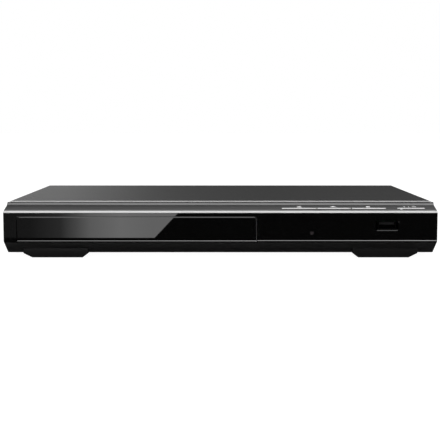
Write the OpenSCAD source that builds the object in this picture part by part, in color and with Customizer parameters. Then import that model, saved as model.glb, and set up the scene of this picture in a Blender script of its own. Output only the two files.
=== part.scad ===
// Slim disc player for 120 mm discs, with a motor-driven tray in the left half of its front.
// X runs along the front, Y from the front to the back, Z up from the surface it stands on.
// Millimetres. The origin is under the middle of the player, at the foot of its feet.

/* [Case] */
// Width of the front panel
body_w = 320; // [310:1:340]
// Depth from the face to the ends of the rear jacks
body_d = 209; // [205:1:225]
// Height of the top cover over the surface below
body_h = 42; // [41:0.5:46]
// Height of the feet
foot_h = 3.25; // [2.5:0.25:4]
// Thickness of the steel sheet
sheet_t = 0.8; // [0.6:0.1:1.0]
// Width of the steel top cover
cover_w = 318; // [308:1:319]
// Slip gap between the cover and the pan
cover_gap = 0.3; // [0.2:0.1:0.5]
// Depth of the front panel, face to the edge of the cover
shelf_d = 18; // [16:0.5:22]
// Wall of the moulded front panel
bezel_t = 2.0; // [1.6:0.1:2.4]

/* [Face] */
// Height of the top of the upright face over the surface below
face_top = 34.4; // [33.5:0.1:35]
// Height of the foot of the upright face
face_low = 14.2; // [13.5:0.1:15]
// Height of the shelf where it meets the cover
shelf_top = 39.2; // [38.5:0.1:39.6]
// Height of the bright trim over the top of the face
trim_h = 1.5; // [1.2:0.1:2.2]
// Depth of the bright trim
trim_d = 2.0; // [1.6:0.1:2.6]
// Thickness of the bright trim
trim_t = 0.6; // [0.4:0.1:0.8]
// Depth of the rounded lip under the face
lip_d = 0.9; // [0.6:0.1:1.6]
// Drop of the rounded lip under the face
lip_h = 1.4; // [1.2:0.1:2]

/* [Front feet] */
// Distance from the middle to the inner end of a foot
foot_in = 99; // [90:0.5:104]
// Distance from the middle to the outer end of a foot
foot_out = 147.5; // [140:0.5:152]
// Slope of the inner end of a foot, measured along X
foot_rake_in = 4.3; // [3:0.1:6]
// Slope of the outer end of a foot, measured along X
foot_rake_out = 6.5; // [4:0.1:8]
// Depth of a foot where it stands, front to back
foot_d = 6.5; // [5.5:0.5:8]

/* [Tray] */
// Middle of the tray, left of the middle of the player
tray_x = -61.6; // [-66:0.2:-60]
// Width of the tray door
door_w = 177; // [174:1:178]
// Top of the tray door over the surface below
door_top = 31; // [30.4:0.1:31.4]
// Foot of the tray door over the surface below
door_low = 11.8; // [11.4:0.1:12.2]
// Thickness of the tray door
door_t = 2.5; // [2:0.1:3]
// Gap round the tray door
door_gap = 0.4; // [0.3:0.1:0.6]
// Radius of the door's upper corners
door_r = 2.5; // [1.5:0.5:4]
// Diameter of the disc
disc_d = 120; // [120:0.1:120.5]
// Play round the disc in its recess
disc_gap = 0.9; // [0.6:0.1:1.2]
// Diameter of the small disc
small_disc_d = 80; // [80:0.1:80.5]
// Width of the tray between its guides
tray_w = 132; // [130:0.5:134]
// Height of the tray's rim over the surface below
tray_top = 28.6; // [28:0.1:28.8]
// Depth of the recess for the full-size disc
recess_h = 2.0; // [1.6:0.1:2.2]
// Further depth of the recess for the small disc
small_recess_h = 0.8; // [0.6:0.1:1]
// Floor of the tray under the small disc's recess
tray_floor = 1.6; // [1.4:0.1:2]
// Distance the tray comes out
tray_travel = 132; // [128:1:134]
// Width of the window for the pickup
window_w = 50; // [49:0.5:52]

/* [Loader] */
// Width of the loader's frame
loader_w = 152; // [150:0.5:156]
// Length of the loader's frame
loader_l = 168; // [166:1:172]
// Wall of the loader's frame
loader_t = 2.4; // [2:0.1:3]
// Gap between the loader's frame and the back of the front panel's face
loader_gap = 4; // [3.5:0.5:6]
// Running gap between the tray and its guides
guide_gap = 0.3; // [0.25:0.05:0.4]
// Teeth of the gear that drives the rack
rack_teeth = 18; // [17:1:20]
// Module of the rack and its gear
rack_mod = 1.0; // [0.9:0.05:1.05]
// Teeth of the large gear on the rack's gear
wheel_teeth = 48; // [46:1:50]
// Teeth of the pinion on the belt pulley
pinion_teeth = 17; // [17:1:20]
// Module of the large gear and its pinion
wheel_mod = 0.6; // [0.58:0.01:0.65]
// Backlash of the gears, measured along the pitch line
backlash = 0.2; // [0.15:0.05:0.3]
// Radius of the belt groove on the large pulley
pulley_r = 7.5; // [7:0.1:7.8]
// Radius of the belt groove on the motor's pulley
motor_pulley_r = 2.6; // [2.4:0.1:3]
// Width of the square drive belt
belt_t = 1.2; // [1:0.1:1.4]
// Radius of the gear pins
gear_pin_r = 1.25; // [1:0.05:1.5]
// Running clearance of pins and shafts, radial
run_gap = 0.05; // [0.03:0.01:0.08]

/* [Pickup] */
// Height of the turntable's rest face when it is up
disc_z = 28.3; // [28.1:0.1:28.5]
// Radius of the turntable
turntable_r = 15.5; // [14:0.5:17]
// Radius of the centring cone, in the 15 mm hole of the disc
cone_r = 7.35; // [7.2:0.05:7.4]
// Radius of the guide rods
rod_r = 1.5; // [1.25:0.05:1.75]
// Distance of each guide rod from the middle of the pickup
rod_x = 24; // [23:0.5:25]
// Distance the pickup travels
sled_travel = 36; // [34:0.5:36]
// Distance of the pickup's lens from the turntable's axis, at rest
sled_start = 24; // [23.5:0.5:26]
// Width of the traverse frame
traverse_w = 78; // [76:0.5:82]
// Drop of the traverse frame's front when the cam lets it down
traverse_drop = 6; // [5:0.25:6.5]
// Distance the cam slider moves
cam_travel = 18; // [16:0.5:19]
// Distance the lens moves up and down while it focuses
focus_travel = 0.4; // [0.3:0.05:0.5]

/* [Keys] */
// Depth of a key, front to back
key_d = 4.8; // [4:0.1:5.2]
// Gap round a key
key_gap = 0.3; // [0.25:0.05:0.4]
// Height of a key's top over the shelf
key_rise = 0.4; // [0.2:0.1:0.6]
// Distance a key travels
key_travel = 0.5; // [0.3:0.05:0.6]

/* [Sockets] */
// Distance from the right end to the middle of the USB socket
usb_in = 37; // [34:0.5:42]
// Height of the middle of the USB socket
usb_z = 25.2; // [24.8:0.1:25.4]
// Width of the USB recess
usb_w = 16.2; // [15.5:0.1:17]
// Height of the USB recess
usb_h = 6.9; // [6.8:0.1:7.4]
// Radius of the corners of the USB recess
usb_corner = 1.0; // [0.5:0.1:2]
// Chamfer round the mouth of the USB recess
usb_chamfer = 0.5; // [0.3:0.1:0.8]
// Radius of a phono jack's sleeve
jack_r = 4.15; // [4.1:0.05:4.2]
// Distance a phono jack's sleeve stands out of the rear wall
jack_out = 9.5; // [9:0.25:10.5]
// Distance between neighbouring phono jacks
jack_pitch = 14; // [13:0.5:14]
// Height of one row of phono jacks over the other
jack_row = 13; // [12.5:0.25:13.5]
// Distance between the two pins of the mains inlet
inlet_pitch = 8.6; // [8.6:0.1:8.7]

/* [Hidden] */
$fn = 48;

// Levels and planes of the case
face_y = -body_d / 2;
back_y = body_d / 2;
rear_y = back_y - jack_out;
cover_y = face_y + shelf_d;
pan_z = foot_h + sheet_t;
roof_z = body_h - sheet_t;
pan_half = cover_w / 2 - sheet_t - cover_gap;
joint_gap = 0.3;
cover_edge_d = shelf_d - joint_gap;
bezel_back_y = face_y + cover_edge_d;
lip_r = (lip_d * lip_d + lip_h * lip_h) / (2 * lip_d);
lip_turn = 2 * atan(lip_d / lip_h);
lip_mid = [face_y + lip_r, face_low];
lip_end = [face_y + lip_d, face_low - lip_h];
under_w = 1.3;
under_end = [bezel_back_y - under_w, foot_h];
under_lean = atan2(lip_end[1] - under_end[1], under_end[0] - lip_end[0]);
step_z = roof_z - joint_gap;
rim_w = 0.5;
rim_lean = 49;
shelf_end_d = cover_edge_d - rim_w - (step_z - shelf_top) / tan(rim_lean);
trim_top = face_top + trim_h;

// Planes of the tray and the loader
tray_front = face_y + door_t;
tray_nose = 6;
disc_y = tray_front + tray_nose + disc_d / 2 + disc_gap;
recess_z = tray_top - recess_h;
small_z = recess_z - small_recess_h;
tray_low = small_z - tray_floor;
loader_y = face_y + bezel_t + loader_gap;
loader_end = loader_y + loader_l;
tray_end = loader_end - 4.5;
tray_flange_w = 2.5;
tray_flange_t = 1.8;
rail_in = tray_w / 2 + guide_gap;
rail_out = loader_w / 2;
deck_z = 11.5;
under_gap = 0.4;
deck_t = 2;
deck_top = deck_z + deck_t;
wall_top = 30;
loader_boss_z = 7;
loader_boss_x = rail_out - 7;
loader_boss_y = [loader_y + 18.5, loader_end - 7.5];

// Gear train under the front of the tray
gear_y = loader_y + 16.5;
rack_r = rack_mod * rack_teeth / 2;
wheel_r = wheel_mod * wheel_teeth / 2;
pinion_r = wheel_mod * pinion_teeth / 2;
rack_line = tray_w / 2 - 9;
rack_gear_x = tray_x + rack_line - rack_r;
rack_bottom = 18.4;
gear_gap = 0.5;
wheel_z = deck_top + gear_gap;
wheel_t = 3;
rack_gear_z = wheel_z + wheel_t;
rack_gear_top = tray_low - 1.2;
pulley_x = rack_gear_x - wheel_r - pinion_r;
pulley_z = rack_gear_z + gear_gap;
pulley_t = 3;
pulley_rim = 0.8;
motor_x = tray_x + 1;
motor_y = gear_y + 2;
motor_r = 9;
motor_h = 11;
motor_z = pulley_z - gear_gap - motor_h;

// Traverse and pickup
sled_front = disc_y + sled_start - 6.7;
sled_l = 34;
sled_stop = 1.8;
traverse_bar = 6;
traverse_front = disc_y - 24;
traverse_end = sled_front + sled_l + sled_travel + sled_stop + traverse_bar;
rod_z = 17;
traverse_low = 13.5;
traverse_top = 21.5;
hinge_y = traverse_end - 3;
hinge_r = 1.5;
bay_x = traverse_w / 2 + 1.5;
bay_front = traverse_front - 6.5;
bay_end = traverse_end + 2;
rail_w = 6;
cam_pin_r = 1.5;
cam_slot_gap = 0.25;
cam_y = traverse_front - 3.9;
cam_t = 3;
sled_half = rod_x + 3;
sled_top_half = 19;
lens_y = disc_y + sled_start;
lens_gap = 1;
lens_z = disc_z - lens_gap - focus_travel;
lens_half = 5;
screw_r = 1.5;
screw_x = sled_half + 0.3 + screw_r + 1.2;

// Clamp over the disc
puck_z = disc_z + 1.4;
bridge_z = 32.4;
bridge_t = 1.2;
puck_r = 12.5;
puck_gap = 0.6;
puck_flange = 3;

// Sockets on the rear wall
board_z = 8;
board_t = 1.6;
board_top = board_z + board_t;
jack_x = 30;
jack_low = board_top + 6;
coax_x = jack_x + 3 * jack_pitch + 2;
hdmi_x = 92;
hdmi_w = 14.4;
hdmi_h = 5.4;
inlet_x = 132;
inlet_z = 20;
inlet_w = 16.4;
inlet_h = 8.2;
main_x = [20, 103];
main_y = [-50, rear_y - 1.5];
power_x = [108, 153];
power_y = [-40, rear_y - 1.5];

// Keys: distances of the left end and the right end of each from the right end of the front
KEY_ENDS = [[114.4, 88.7], [88, 63.2], [62.4, 37.4], [28.7, 8.4]];
KEYS = [for (k = KEY_ENDS) [body_w / 2 - k[0], body_w / 2 - k[1]]];
usb_x = body_w / 2 - usb_in;
key_front = face_y + trim_d + 0.9;
shelf_slope = (shelf_top - trim_top) / (shelf_end_d - trim_d);
key_board_in = 4;
key_board_d = 15;
key_board_x = [KEYS[0][0] - 3.6, KEYS[3][1] + 1.4];
key_board_y = [face_y + key_board_in, face_y + key_board_in + key_board_d];
key_board_t = 1.2;
usb_shell_h = 5.8;
key_board_z = usb_z + usb_shell_h / 2 + key_board_t;
switch_h = 1.4;
switch_floor = 0.2;
plunger_h = 0.7;
plunger_r = 1.7;
stem_r = 2;
led_x = body_w / 2 - 26;
led_y = key_front + key_d * 0.38;
led_r = 0.9;
ir_x = body_w / 2 - 92.5;
ir_z = usb_z - 5.6;
ir_r = 1.4;

// Height of the shelf's surface at a distance behind the face
function shelf_z(d) = trim_top + (d - trim_d) * shelf_slope;

// Points of an arc in the plane, from angle a to angle b
function arc(c, r, a, b, n = 6) = [for (i = [0:n]) c + r * [cos(a + (b - a) * i / n), sin(a + (b - a) * i / n)]];

// A profile drawn behind the face and over the floor, pulled along X
module along_x(x0, x1) {
    translate([x0, 0, 0]) rotate([90, 0, 90]) linear_extrude(x1 - x0) children();
}

// A profile drawn in X and Z, pulled along Y
module along_y(y0, y1) {
    translate([0, y1, 0]) rotate([90, 0, 0]) linear_extrude(y1 - y0) children();
}

// A block from one corner to the other
module block(a, b) {
    translate(a) cube(b - a);
}

// A rectangle from one corner to the other, with round corners
module round_rect(a, b, r) {
    translate([a[0] + r, a[1]]) square([b[0] - a[0] - 2 * r, b[1] - a[1]]);
    translate([a[0], a[1] + r]) square([b[0] - a[0], b[1] - a[1] - 2 * r]);
    for (x = [a[0] + r, b[0] - r], y = [a[1] + r, b[1] - r]) translate([x, y]) circle(r);
}

// A slot with round ends, from one centre to the other
module slot(a, b, r) {
    d = b - a;
    translate(a) circle(r);
    translate(b) circle(r);
    translate(a) rotate(atan2(d[1], d[0])) translate([0, -r]) square([norm(d), 2 * r]);
}

// A round post
module post(x, y, z0, z1, r) {
    translate([x, y, z0]) cylinder(h = z1 - z0, r = r);
}

// Flank of an involute tooth: the point where the unwound angle is t
function involute(rb, t) = rb * [cos(t) + t * PI / 180 * sin(t), sin(t) - t * PI / 180 * cos(t)];
function turned(p, a) = [p[0] * cos(a) - p[1] * sin(a), p[0] * sin(a) + p[1] * cos(a)];
function unwound(rb, r) = sqrt(max(r * r / (rb * rb) - 1, 0)) * 180 / PI;

// Outline of a gear with 20 degree teeth, with a tooth centred on +X
module gear_outline(mod, teeth) {
    r = mod * teeth / 2;
    rb = r * cos(20);
    tip = r + 0.9 * mod;
    root = r - 1.2 * mod;
    half = 90 / teeth - backlash / 4 / r * 180 / PI + (tan(20) * 180 / PI - 20);
    steps = 3;
    start = unwound(rb, max(rb, root));
    flank = [for (i = [0:steps]) involute(rb, start + (unwound(rb, tip) - start) * i / steps)];
    low = turned(flank[0] * (root / norm(flank[0])), -half);
    tooth = concat([low], [for (p = flank) turned(p, -half)]);
    other = [for (i = [len(tooth) - 1:-1:0]) [tooth[i][0], -tooth[i][1]]];
    polygon([for (k = [0:teeth - 1]) for (p = concat(tooth, other)) turned(p, k * 360 / teeth)]);
}

// Case

PAN_SCREWS = [-0.38, 0, 0.38] * cover_w;
side_screw_y = 20;
side_screw_z = 9;
side_flange_z = 14;
head_r = 2.8;
head_h = 0.9;
pan_screw_z = (jack_low + jack_row + jack_r + roof_z) / 2 + 0.6;
shank_r = 1.4;
rear_foot_r = 7;
REAR_FEET = [[-135, rear_y - 16], [135, rear_y - 16]];
boss_r = 4;
STANDOFFS = [
    [main_x[0] + 4, main_y[0] + 6], [main_x[1] - 4, main_y[0] + 6],
    [main_x[0] + 4, main_y[1] - 24], [main_x[1] - 4, main_y[1] - 24],
    [power_x[0] + 4, power_y[0] + 5], [power_x[1] - 4, power_y[0] + 5],
    [power_x[0] + 4, power_y[1] - 24], [power_x[1] - 4, power_y[1] - 24]
];
LOADER_BOSSES = [for (s = [-1, 1], y = loader_boss_y) [tray_x + s * loader_boss_x, y]];

// Folded steel pan: floor, side flanges and rear wall, with pressed standoffs
module chassis() {
    color("silver") difference() {
        union() {
            block([-pan_half, bezel_back_y + joint_gap, foot_h], [pan_half, rear_y, pan_z]);
            block([-pan_half, rear_y - sheet_t, foot_h], [pan_half, rear_y, roof_z - cover_gap]);
            for (s = [-1, 1])
                block([s > 0 ? pan_half - sheet_t : -pan_half, cover_y + 6, foot_h],
                    [s > 0 ? pan_half : sheet_t - pan_half, rear_y, side_flange_z]);
            for (p = STANDOFFS) post(p[0], p[1], pan_z, board_z, 3);
            for (p = LOADER_BOSSES) post(p[0], p[1], pan_z, loader_boss_z, 5);
        }
        for (p = STANDOFFS) post(p[0], p[1], board_z - 5, board_z + 1, shank_r + 0.1);
        for (p = LOADER_BOSSES) post(p[0], p[1], foot_h - 1, loader_boss_z + 1, shank_r + 0.1);
        for (p = REAR_FEET) post(p[0], p[1], foot_h - 1, pan_z + 1, 2.2);
        rear_cuts();
        vents();
        for (x = PAN_SCREWS) translate([x, rear_y + 1, pan_screw_z]) rotate([90, 0, 0])
            cylinder(h = 4, r = shank_r + 0.1);
        for (s = [-1, 1]) translate([s * pan_half, side_screw_y, side_screw_z]) rotate([0, 90, 0])
            cylinder(h = 6, r = shank_r + 0.1, center = true);
    }
}

// Cut-outs for the sockets in the rear wall
module rear_cuts() {
    along_y(rear_y - 3, rear_y + 1) {
        for (i = [0:2], z = [jack_low, jack_low + jack_row])
            translate([jack_x + i * jack_pitch, z]) circle(jack_r + 0.5);
        translate([coax_x, jack_low]) circle(jack_r + 0.5);
        translate([hdmi_x - hdmi_w / 2 - 0.4, board_top + 0.2]) square([hdmi_w + 0.8, hdmi_h + 0.8]);
        round_rect([inlet_x - 11.4, inlet_z - 7.4], [inlet_x + 11.4, inlet_z + 7.4], 1);
    }
}

// Rows of slots under the power board and beside the sockets
module vents() {
    for (i = [0:7]) translate([0, 0, foot_h - 1]) linear_extrude(3)
        slot([power_x[0] + 12, power_y[0] + 22 + 9 * i], [power_x[1] - 12, power_y[0] + 22 + 9 * i], 1.25);
    for (i = [0:13]) along_y(rear_y - 3, rear_y + 1)
        slot([-134 + 8 * i, 14], [-134 + 8 * i, 26], 1.25);
}

// Feet under the rear corners, pushed into holes in the pan
module rear_feet() {
    color("black") for (p = REAR_FEET) {
        post(p[0], p[1], 0, foot_h, rear_foot_r);
        post(p[0], p[1], foot_h, pan_z + 1.5, 2.2);
        post(p[0], p[1], pan_z, pan_z + 1.5, 3);
    }
}

// Cross-section of the cover, an inverted U with round bends
module cover_section(grow, low) {
    half = cover_w / 2 - grow;
    r = 1.8 - grow;
    translate([-half, low]) square([2 * half, body_h - grow - r - low]);
    translate([r - half, body_h - grow - 2 * r]) square([2 * half - 2 * r, 2 * r]);
    for (s = [-1, 1]) translate([s * (half - r), body_h - grow - r]) circle(r);
}

cover_low = foot_h + 0.4;
hem_gap = 1.2;
hem_low = jack_low + jack_row + jack_r + hem_gap;

// Folded steel cover, with a hem over the rear wall
module top_cover() {
    color([0.2, 0.2, 0.2]) difference() {
        along_y(cover_y, rear_y + cover_gap + sheet_t) cover_section(0, cover_low);
        along_y(cover_y - 1, rear_y + cover_gap) cover_section(sheet_t, cover_low - 1);
        block([-cover_w, rear_y + cover_gap - 0.01, 0], [cover_w, back_y, hem_low]);
        for (x = PAN_SCREWS) translate([x, rear_y + 4, pan_screw_z]) rotate([90, 0, 0])
            cylinder(h = 8, r = shank_r + 0.1);
        for (s = [-1, 1]) translate([s * cover_w / 2, side_screw_y, side_screw_z]) rotate([0, 90, 0])
            cylinder(h = 6, r = shank_r + 0.1, center = true);
    }
}

// A pan-head screw along +Z, its head's underside at zero
module screw(len) {
    difference() {
        union() {
            cylinder(h = head_h, r = head_r);
            translate([0, 0, -len]) cylinder(h = len, r = shank_r);
        }
        for (a = [0, 90]) rotate(a) translate([-1.5, -0.35, head_h - 0.6]) cube([3, 0.7, 1]);
    }
}

// Screws that hold the cover: three at the back, one on each side
module cover_screws() {
    color("dimgray") {
        for (x = PAN_SCREWS) translate([x, rear_y + cover_gap + sheet_t, pan_screw_z])
            rotate([-90, 0, 0]) screw(5);
        for (s = [-1, 1]) translate([s * cover_w / 2, side_screw_y, side_screw_z])
            rotate([0, s * 90, 0]) screw(4);
    }
}

// Screws that hold the loader and the boards to the pan
module frame_screws() {
    color("silver") {
        for (p = STANDOFFS) translate([p[0], p[1], board_top]) screw(4.5);
        for (p = LOADER_BOSSES) translate([p[0], p[1], deck_top]) screw(9);
    }
}

// Outline of the front panel seen from its end, behind the face and over the floor
module bezel_section() {
    polygon(concat(
        [
            [bezel_back_y, foot_h],
            [bezel_back_y, step_z],
            [bezel_back_y - rim_w, step_z],
            [face_y + shelf_end_d, shelf_top],
            [face_y + trim_d, trim_top],
            [face_y + trim_d - 0.1, trim_top - trim_t],
            [face_y + trim_t, face_top],
            [face_y, face_top]
        ],
        arc(lip_mid, lip_r, 180, 180 + lip_turn, 4),
        [under_end]
    ));
}

// Height of a plane inside the front panel's sloping underside, at a depth in its wall
function under_z(y, depth) = lip_end[1] - (y - lip_end[0]) * tan(under_lean) + depth / cos(under_lean);

// Hollow of the front panel, open to the back
module bezel_hollow() {
    offset(delta = -bezel_t) bezel_section();
    translate([bezel_back_y - bezel_t - 1, foot_h + bezel_t])
        square([bezel_t + 3, step_z - foot_h - 2 * bezel_t]);
}

// Outline of the door in X and Z, grown on all sides
module door_outline(grow) {
    x0 = tray_x - door_w / 2 - grow;
    x1 = tray_x + door_w / 2 + grow;
    top = door_top + grow;
    r = door_r + grow;
    translate([x0, door_low - grow]) square([x1 - x0, top - r - door_low + grow]);
    translate([x0 + r, top - 2 * r]) square([x1 - x0 - 2 * r, 2 * r]);
    for (x = [x0 + r, x1 - r]) translate([x, top - r]) circle(r);
}

// One front foot: raked ends and an upright face that runs up into the underside
module front_foot(s) {
    front = bezel_back_y - foot_d;
    lean = 0.8;
    foot_top = face_low;
    intersection() {
        along_y(front - 2 * lean, bezel_back_y) polygon([
            [s * (foot_in + foot_rake_in), 0], [s * (foot_out - foot_rake_out), 0],
            [s * foot_out, foot_h], [s * foot_out, foot_top], [s * foot_in, foot_top], [s * foot_in, foot_h]
        ]);
        along_x(-body_w, body_w) polygon([
            [front, 0], [bezel_back_y, 0], [bezel_back_y, foot_h + 1],
            [under_end[0], foot_h + 1], [front - lean, under_z(front - lean, 1)]
        ]);
    }
}

board_boss_in = 4;
BOARD_BOSSES = [for (i = [0, 1]) [KEYS[i + 1][1] - 12, key_board_y[1] - board_boss_in]];
TONGUES = [-105, -30, 50, 125];

// Moulded front: shelf, face, underside and feet, with the openings for all that shows in it
module front_bezel() {
    color([0.05, 0.05, 0.05]) difference() {
        union() {
            difference() {
                along_x(-body_w / 2, body_w / 2) bezel_section();
                along_x(bezel_t - body_w / 2, body_w / 2 - bezel_t) bezel_hollow();
            }
            for (s = [-1, 1]) front_foot(s);
            for (x = TONGUES) {
                block([x - 8, bezel_back_y - 2.5, pan_z], [x + 8, bezel_back_y + 8, pan_z + 1.6]);
                block([x - 8, bezel_back_y - 1.5, step_z - 1.4], [x + 8, bezel_back_y + 5, step_z]);
            }
            for (p = BOARD_BOSSES) post(p[0], p[1], key_board_z, shelf_z(p[1] - face_y) - 1, 2.6);
            usb_collar();
        }
        along_y(face_y - 1, face_y + door_t + door_gap) door_outline(door_gap);
        for (k = [[KEYS[0][0], KEYS[2][1]], KEYS[3]])
            block([k[0] - key_gap, key_front - key_gap, face_top - 2],
                [k[1] + key_gap, key_front + key_d + key_gap, body_h]);
        along_y(face_y - 1, face_y + 6) {
            round_rect([usb_x - usb_w / 2, usb_z - usb_h / 2],
                [usb_x + usb_w / 2, usb_z + usb_h / 2], usb_corner);
            translate([ir_x, ir_z]) circle(ir_r);
        }
        usb_mouth();
        for (p = BOARD_BOSSES) post(p[0], p[1], key_board_z - 1, key_board_z + 4, 1);
    }
}

// Chamfer round the mouth of the USB recess
module usb_mouth() {
    cut = usb_chamfer + 0.2;
    hull() for (sx = [-1, 1], sz = [-1, 1])
        translate([usb_x + sx * (usb_w / 2 - usb_corner), face_y - 0.2, usb_z + sz * (usb_h / 2 - usb_corner)])
            rotate([-90, 0, 0]) cylinder(h = cut, r1 = usb_corner + cut, r2 = usb_corner, $fn = 32);
}

// Collar of the USB recess behind the face
module usb_collar() {
    along_y(face_y + 1, face_y + 3.5)
        round_rect([usb_x - usb_w / 2 - 1.2, usb_z - usb_h / 2 - 1.2],
            [usb_x + usb_w / 2 + 1.2, usb_z + usb_h / 2 + 1.2], 1);
}

// Bright strip along the upper edge of the face
module edge_trim() {
    color("white") along_x(-body_w / 2, body_w / 2) polygon([
        [face_y + trim_d, trim_top],
        [face_y + trim_d - 0.1, trim_top - trim_t],
        [face_y + trim_t, face_top],
        [face_y, face_top],
        [face_y + trim_t * 0.6, face_top + trim_h * 0.55]
    ]);
}

// Window of the remote receiver
module ir_window() {
    color([0.2, 0.1, 0.1]) along_y(face_y + 0.1, face_y + bezel_t) translate([ir_x, ir_z]) circle(ir_r);
}

// Receiver of the remote signal, on two bent legs under the key board
module ir_receiver() {
    y0 = face_y + bezel_t + 1.4;
    color([0.15, 0.1, 0.15]) {
        block([ir_x - 3, y0, ir_z - 3.4], [ir_x + 3, y0 + 3, ir_z + 3.4]);
        translate([ir_x, y0, ir_z]) rotate([90, 0, 0]) cylinder(h = 1, r1 = 2.2, r2 = 1.4);
        for (x = [-2, 0, 2])
            block([ir_x + x - 0.25, y0 + 1.2, ir_z + 3.4],
                [ir_x + x + 0.25, y0 + 1.6, key_board_z - key_board_t]);
    }
}

// Keys

key_flange = 1.2;
key_flange_t = 0.9;
key_flange_z = shelf_z(key_front - face_y) - 1.05 * bezel_t - joint_gap;
stem_y = key_front + key_d / 2 + 0.6;

// Side profile of a key: sloped top over the shelf, flange under it
module key_profile() {
    front = key_front - face_y;
    back = front + key_d;
    polygon([
        [face_y + front, shelf_z(front) - 1],
        [face_y + front, shelf_z(front) + key_rise - 0.35],
        [face_y + front + 0.35, shelf_z(front) + key_rise],
        [face_y + back - 0.3, shelf_z(back) + key_rise],
        [face_y + back, shelf_z(back) + key_rise - 0.3],
        [face_y + back, key_flange_z - key_flange_t],
        [face_y + front, key_flange_z - key_flange_t]
    ]);
}

// One key: cap, retaining flange and the stem that presses the switch
module key(i, hole = false) {
    x0 = KEYS[i][0];
    x1 = KEYS[i][1];
    mid = (x0 + x1) / 2;
    color([0.06, 0.06, 0.06]) difference() {
        union() {
            along_x(x0, x1) key_profile();
            block([x0, key_front + 1, key_flange_z - key_flange_t],
                [x1, key_front + key_d + key_flange, key_flange_z]);
            post(mid, stem_y, key_board_z + switch_h + plunger_h, key_flange_z - 0.1, stem_r);
        }
        if (hole)
            post(led_x, led_y, key_board_z, body_h, led_r + 0.3);
    }
}

module eject_key() { key(0); }
module play_key() { key(1); }
module stop_key() { key(2); }
module power_key() { key(3, true); }

// Plunger of one key's switch
module plunger(i) {
    color("ivory") post((KEYS[i][0] + KEYS[i][1]) / 2, stem_y,
        key_board_z + switch_floor + key_travel + 0.1, key_board_z + switch_h + plunger_h, plunger_r);
}

module eject_plunger() { plunger(0); }
module play_plunger() { plunger(1); }
module stop_plunger() { plunger(2); }
module power_plunger() { plunger(3); }

// Bodies of the four push switches
module tact_switches() {
    color("dimgray") for (k = KEYS) {
        mid = (k[0] + k[1]) / 2;
        difference() {
            block([mid - 3, stem_y - 3, key_board_z], [mid + 3, stem_y + 3, key_board_z + switch_h]);
            post(mid, stem_y, key_board_z + switch_floor, key_board_z + switch_h + 1, plunger_r + run_gap);
        }
    }
}

// Board behind the face that carries the switches, the receiver, the lamp and the USB socket
module key_board() {
    color("darkgreen") difference() {
        block([key_board_x[0], key_board_y[0], key_board_z - key_board_t],
            [key_board_x[1], key_board_y[1], key_board_z]);
        for (p = BOARD_BOSSES) post(p[0], p[1], key_board_z - 3, key_board_z + 1, 1.2);
    }
}

// Lamp and its light guide, up through the power key
module led_lens() {
    color("white") {
        post(led_x, led_y, key_board_z, key_board_z + 2.2, 1.4);
        post(led_x, led_y, key_board_z + 2.2, shelf_z(led_y - face_y) + key_rise - 0.1, led_r);
    }
}

// USB socket

usb_shell_w = 13.2;
usb_shell_l = 13;
usb_wall = 0.35;
usb_shell_z = key_board_z - key_board_t - usb_shell_h;
usb_y = face_y + 2.2;

// Folded metal shell, open to the front
module usb_shell() {
    color("silver") difference() {
        block([usb_x - usb_shell_w / 2, usb_y, usb_shell_z],
            [usb_x + usb_shell_w / 2, usb_y + usb_shell_l, usb_shell_z + usb_shell_h]);
        block([usb_x - usb_shell_w / 2 + usb_wall, usb_y - 1, usb_shell_z + usb_wall],
            [usb_x + usb_shell_w / 2 - usb_wall, usb_y + usb_shell_l - 1, usb_shell_z + usb_shell_h - usb_wall]);
        for (s = [-1, 1]) block([usb_x + s * 3.4 - 1, usb_y + 3, usb_shell_z - 1],
            [usb_x + s * 3.4 + 1, usb_y + 7, usb_shell_z + 1]);
    }
}

// Insulating tongue with its four contact grooves
module usb_tongue() {
    top = usb_shell_z + usb_shell_h - usb_wall - 0.4;
    color("white") difference() {
        union() {
            block([usb_x - 5.6, usb_y + 1, top - 1.9], [usb_x + 5.6, usb_y + usb_shell_l - 2.5, top]);
            block([usb_x - 6.2, usb_y + usb_shell_l - 2.5, usb_shell_z + usb_wall],
                [usb_x + 6.2, usb_y + usb_shell_l - 1, usb_shell_z + usb_shell_h - usb_wall]);
        }
        for (x = [-3.5, -1, 1, 3.5]) block([usb_x + x - 0.5, usb_y, top - 2.5],
            [usb_x + x + 0.5, usb_y + usb_shell_l - 3, top - 1.7]);
    }
}

// Boards

// Half of a cosine, for the bend of the flat cable
function drop(a, b, t) = a + (b - a) * (1 - cos(180 * t)) / 2;

// Flat cable from the key board down to the main board
module front_ribbon() {
    width = 18;
    rim = 2;
    plug_d = 4;
    x0 = (KEYS[0][0] + KEYS[0][1] - width) / 2;
    y0 = key_board_y[1] - plug_d - 1;
    y1 = main_y[0] + plug_d + 1;
    z0 = key_board_z + 1.5;
    z1 = board_top + 4;
    line = [for (i = [0:12]) [y0 + (y1 - y0) * i / 12, drop(z0, z1, i / 12)]];
    color("white") along_x(x0, x0 + width) polygon(concat(line, [for (i = [12:-1:0]) line[i] + [0, 0.3]]));
    color("ivory") {
        block([x0 - rim, y0 - plug_d, key_board_z], [x0 + width + rim, y0 + 0.01, z0 + 1.2]);
        block([x0 - rim, y1, board_top], [x0 + width + rim, y1 + plug_d, z1 + 1.2]);
    }
}

module main_board() {
    color("darkgreen") difference() {
        block([main_x[0], main_y[0], board_z], [main_x[1], main_y[1], board_top]);
        for (p = STANDOFFS) post(p[0], p[1], board_z - 1, board_top + 1, shank_r + 0.1);
    }
}

// Decoder, memory and motor driver, each with a row of pins along two sides
CHIPS = [[52, -8, 20, 20, 14], [80, -14, 12, 18, 9], [40, 24, 9, 14, 7], [78, 20, 8, 5, 4]];

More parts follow.
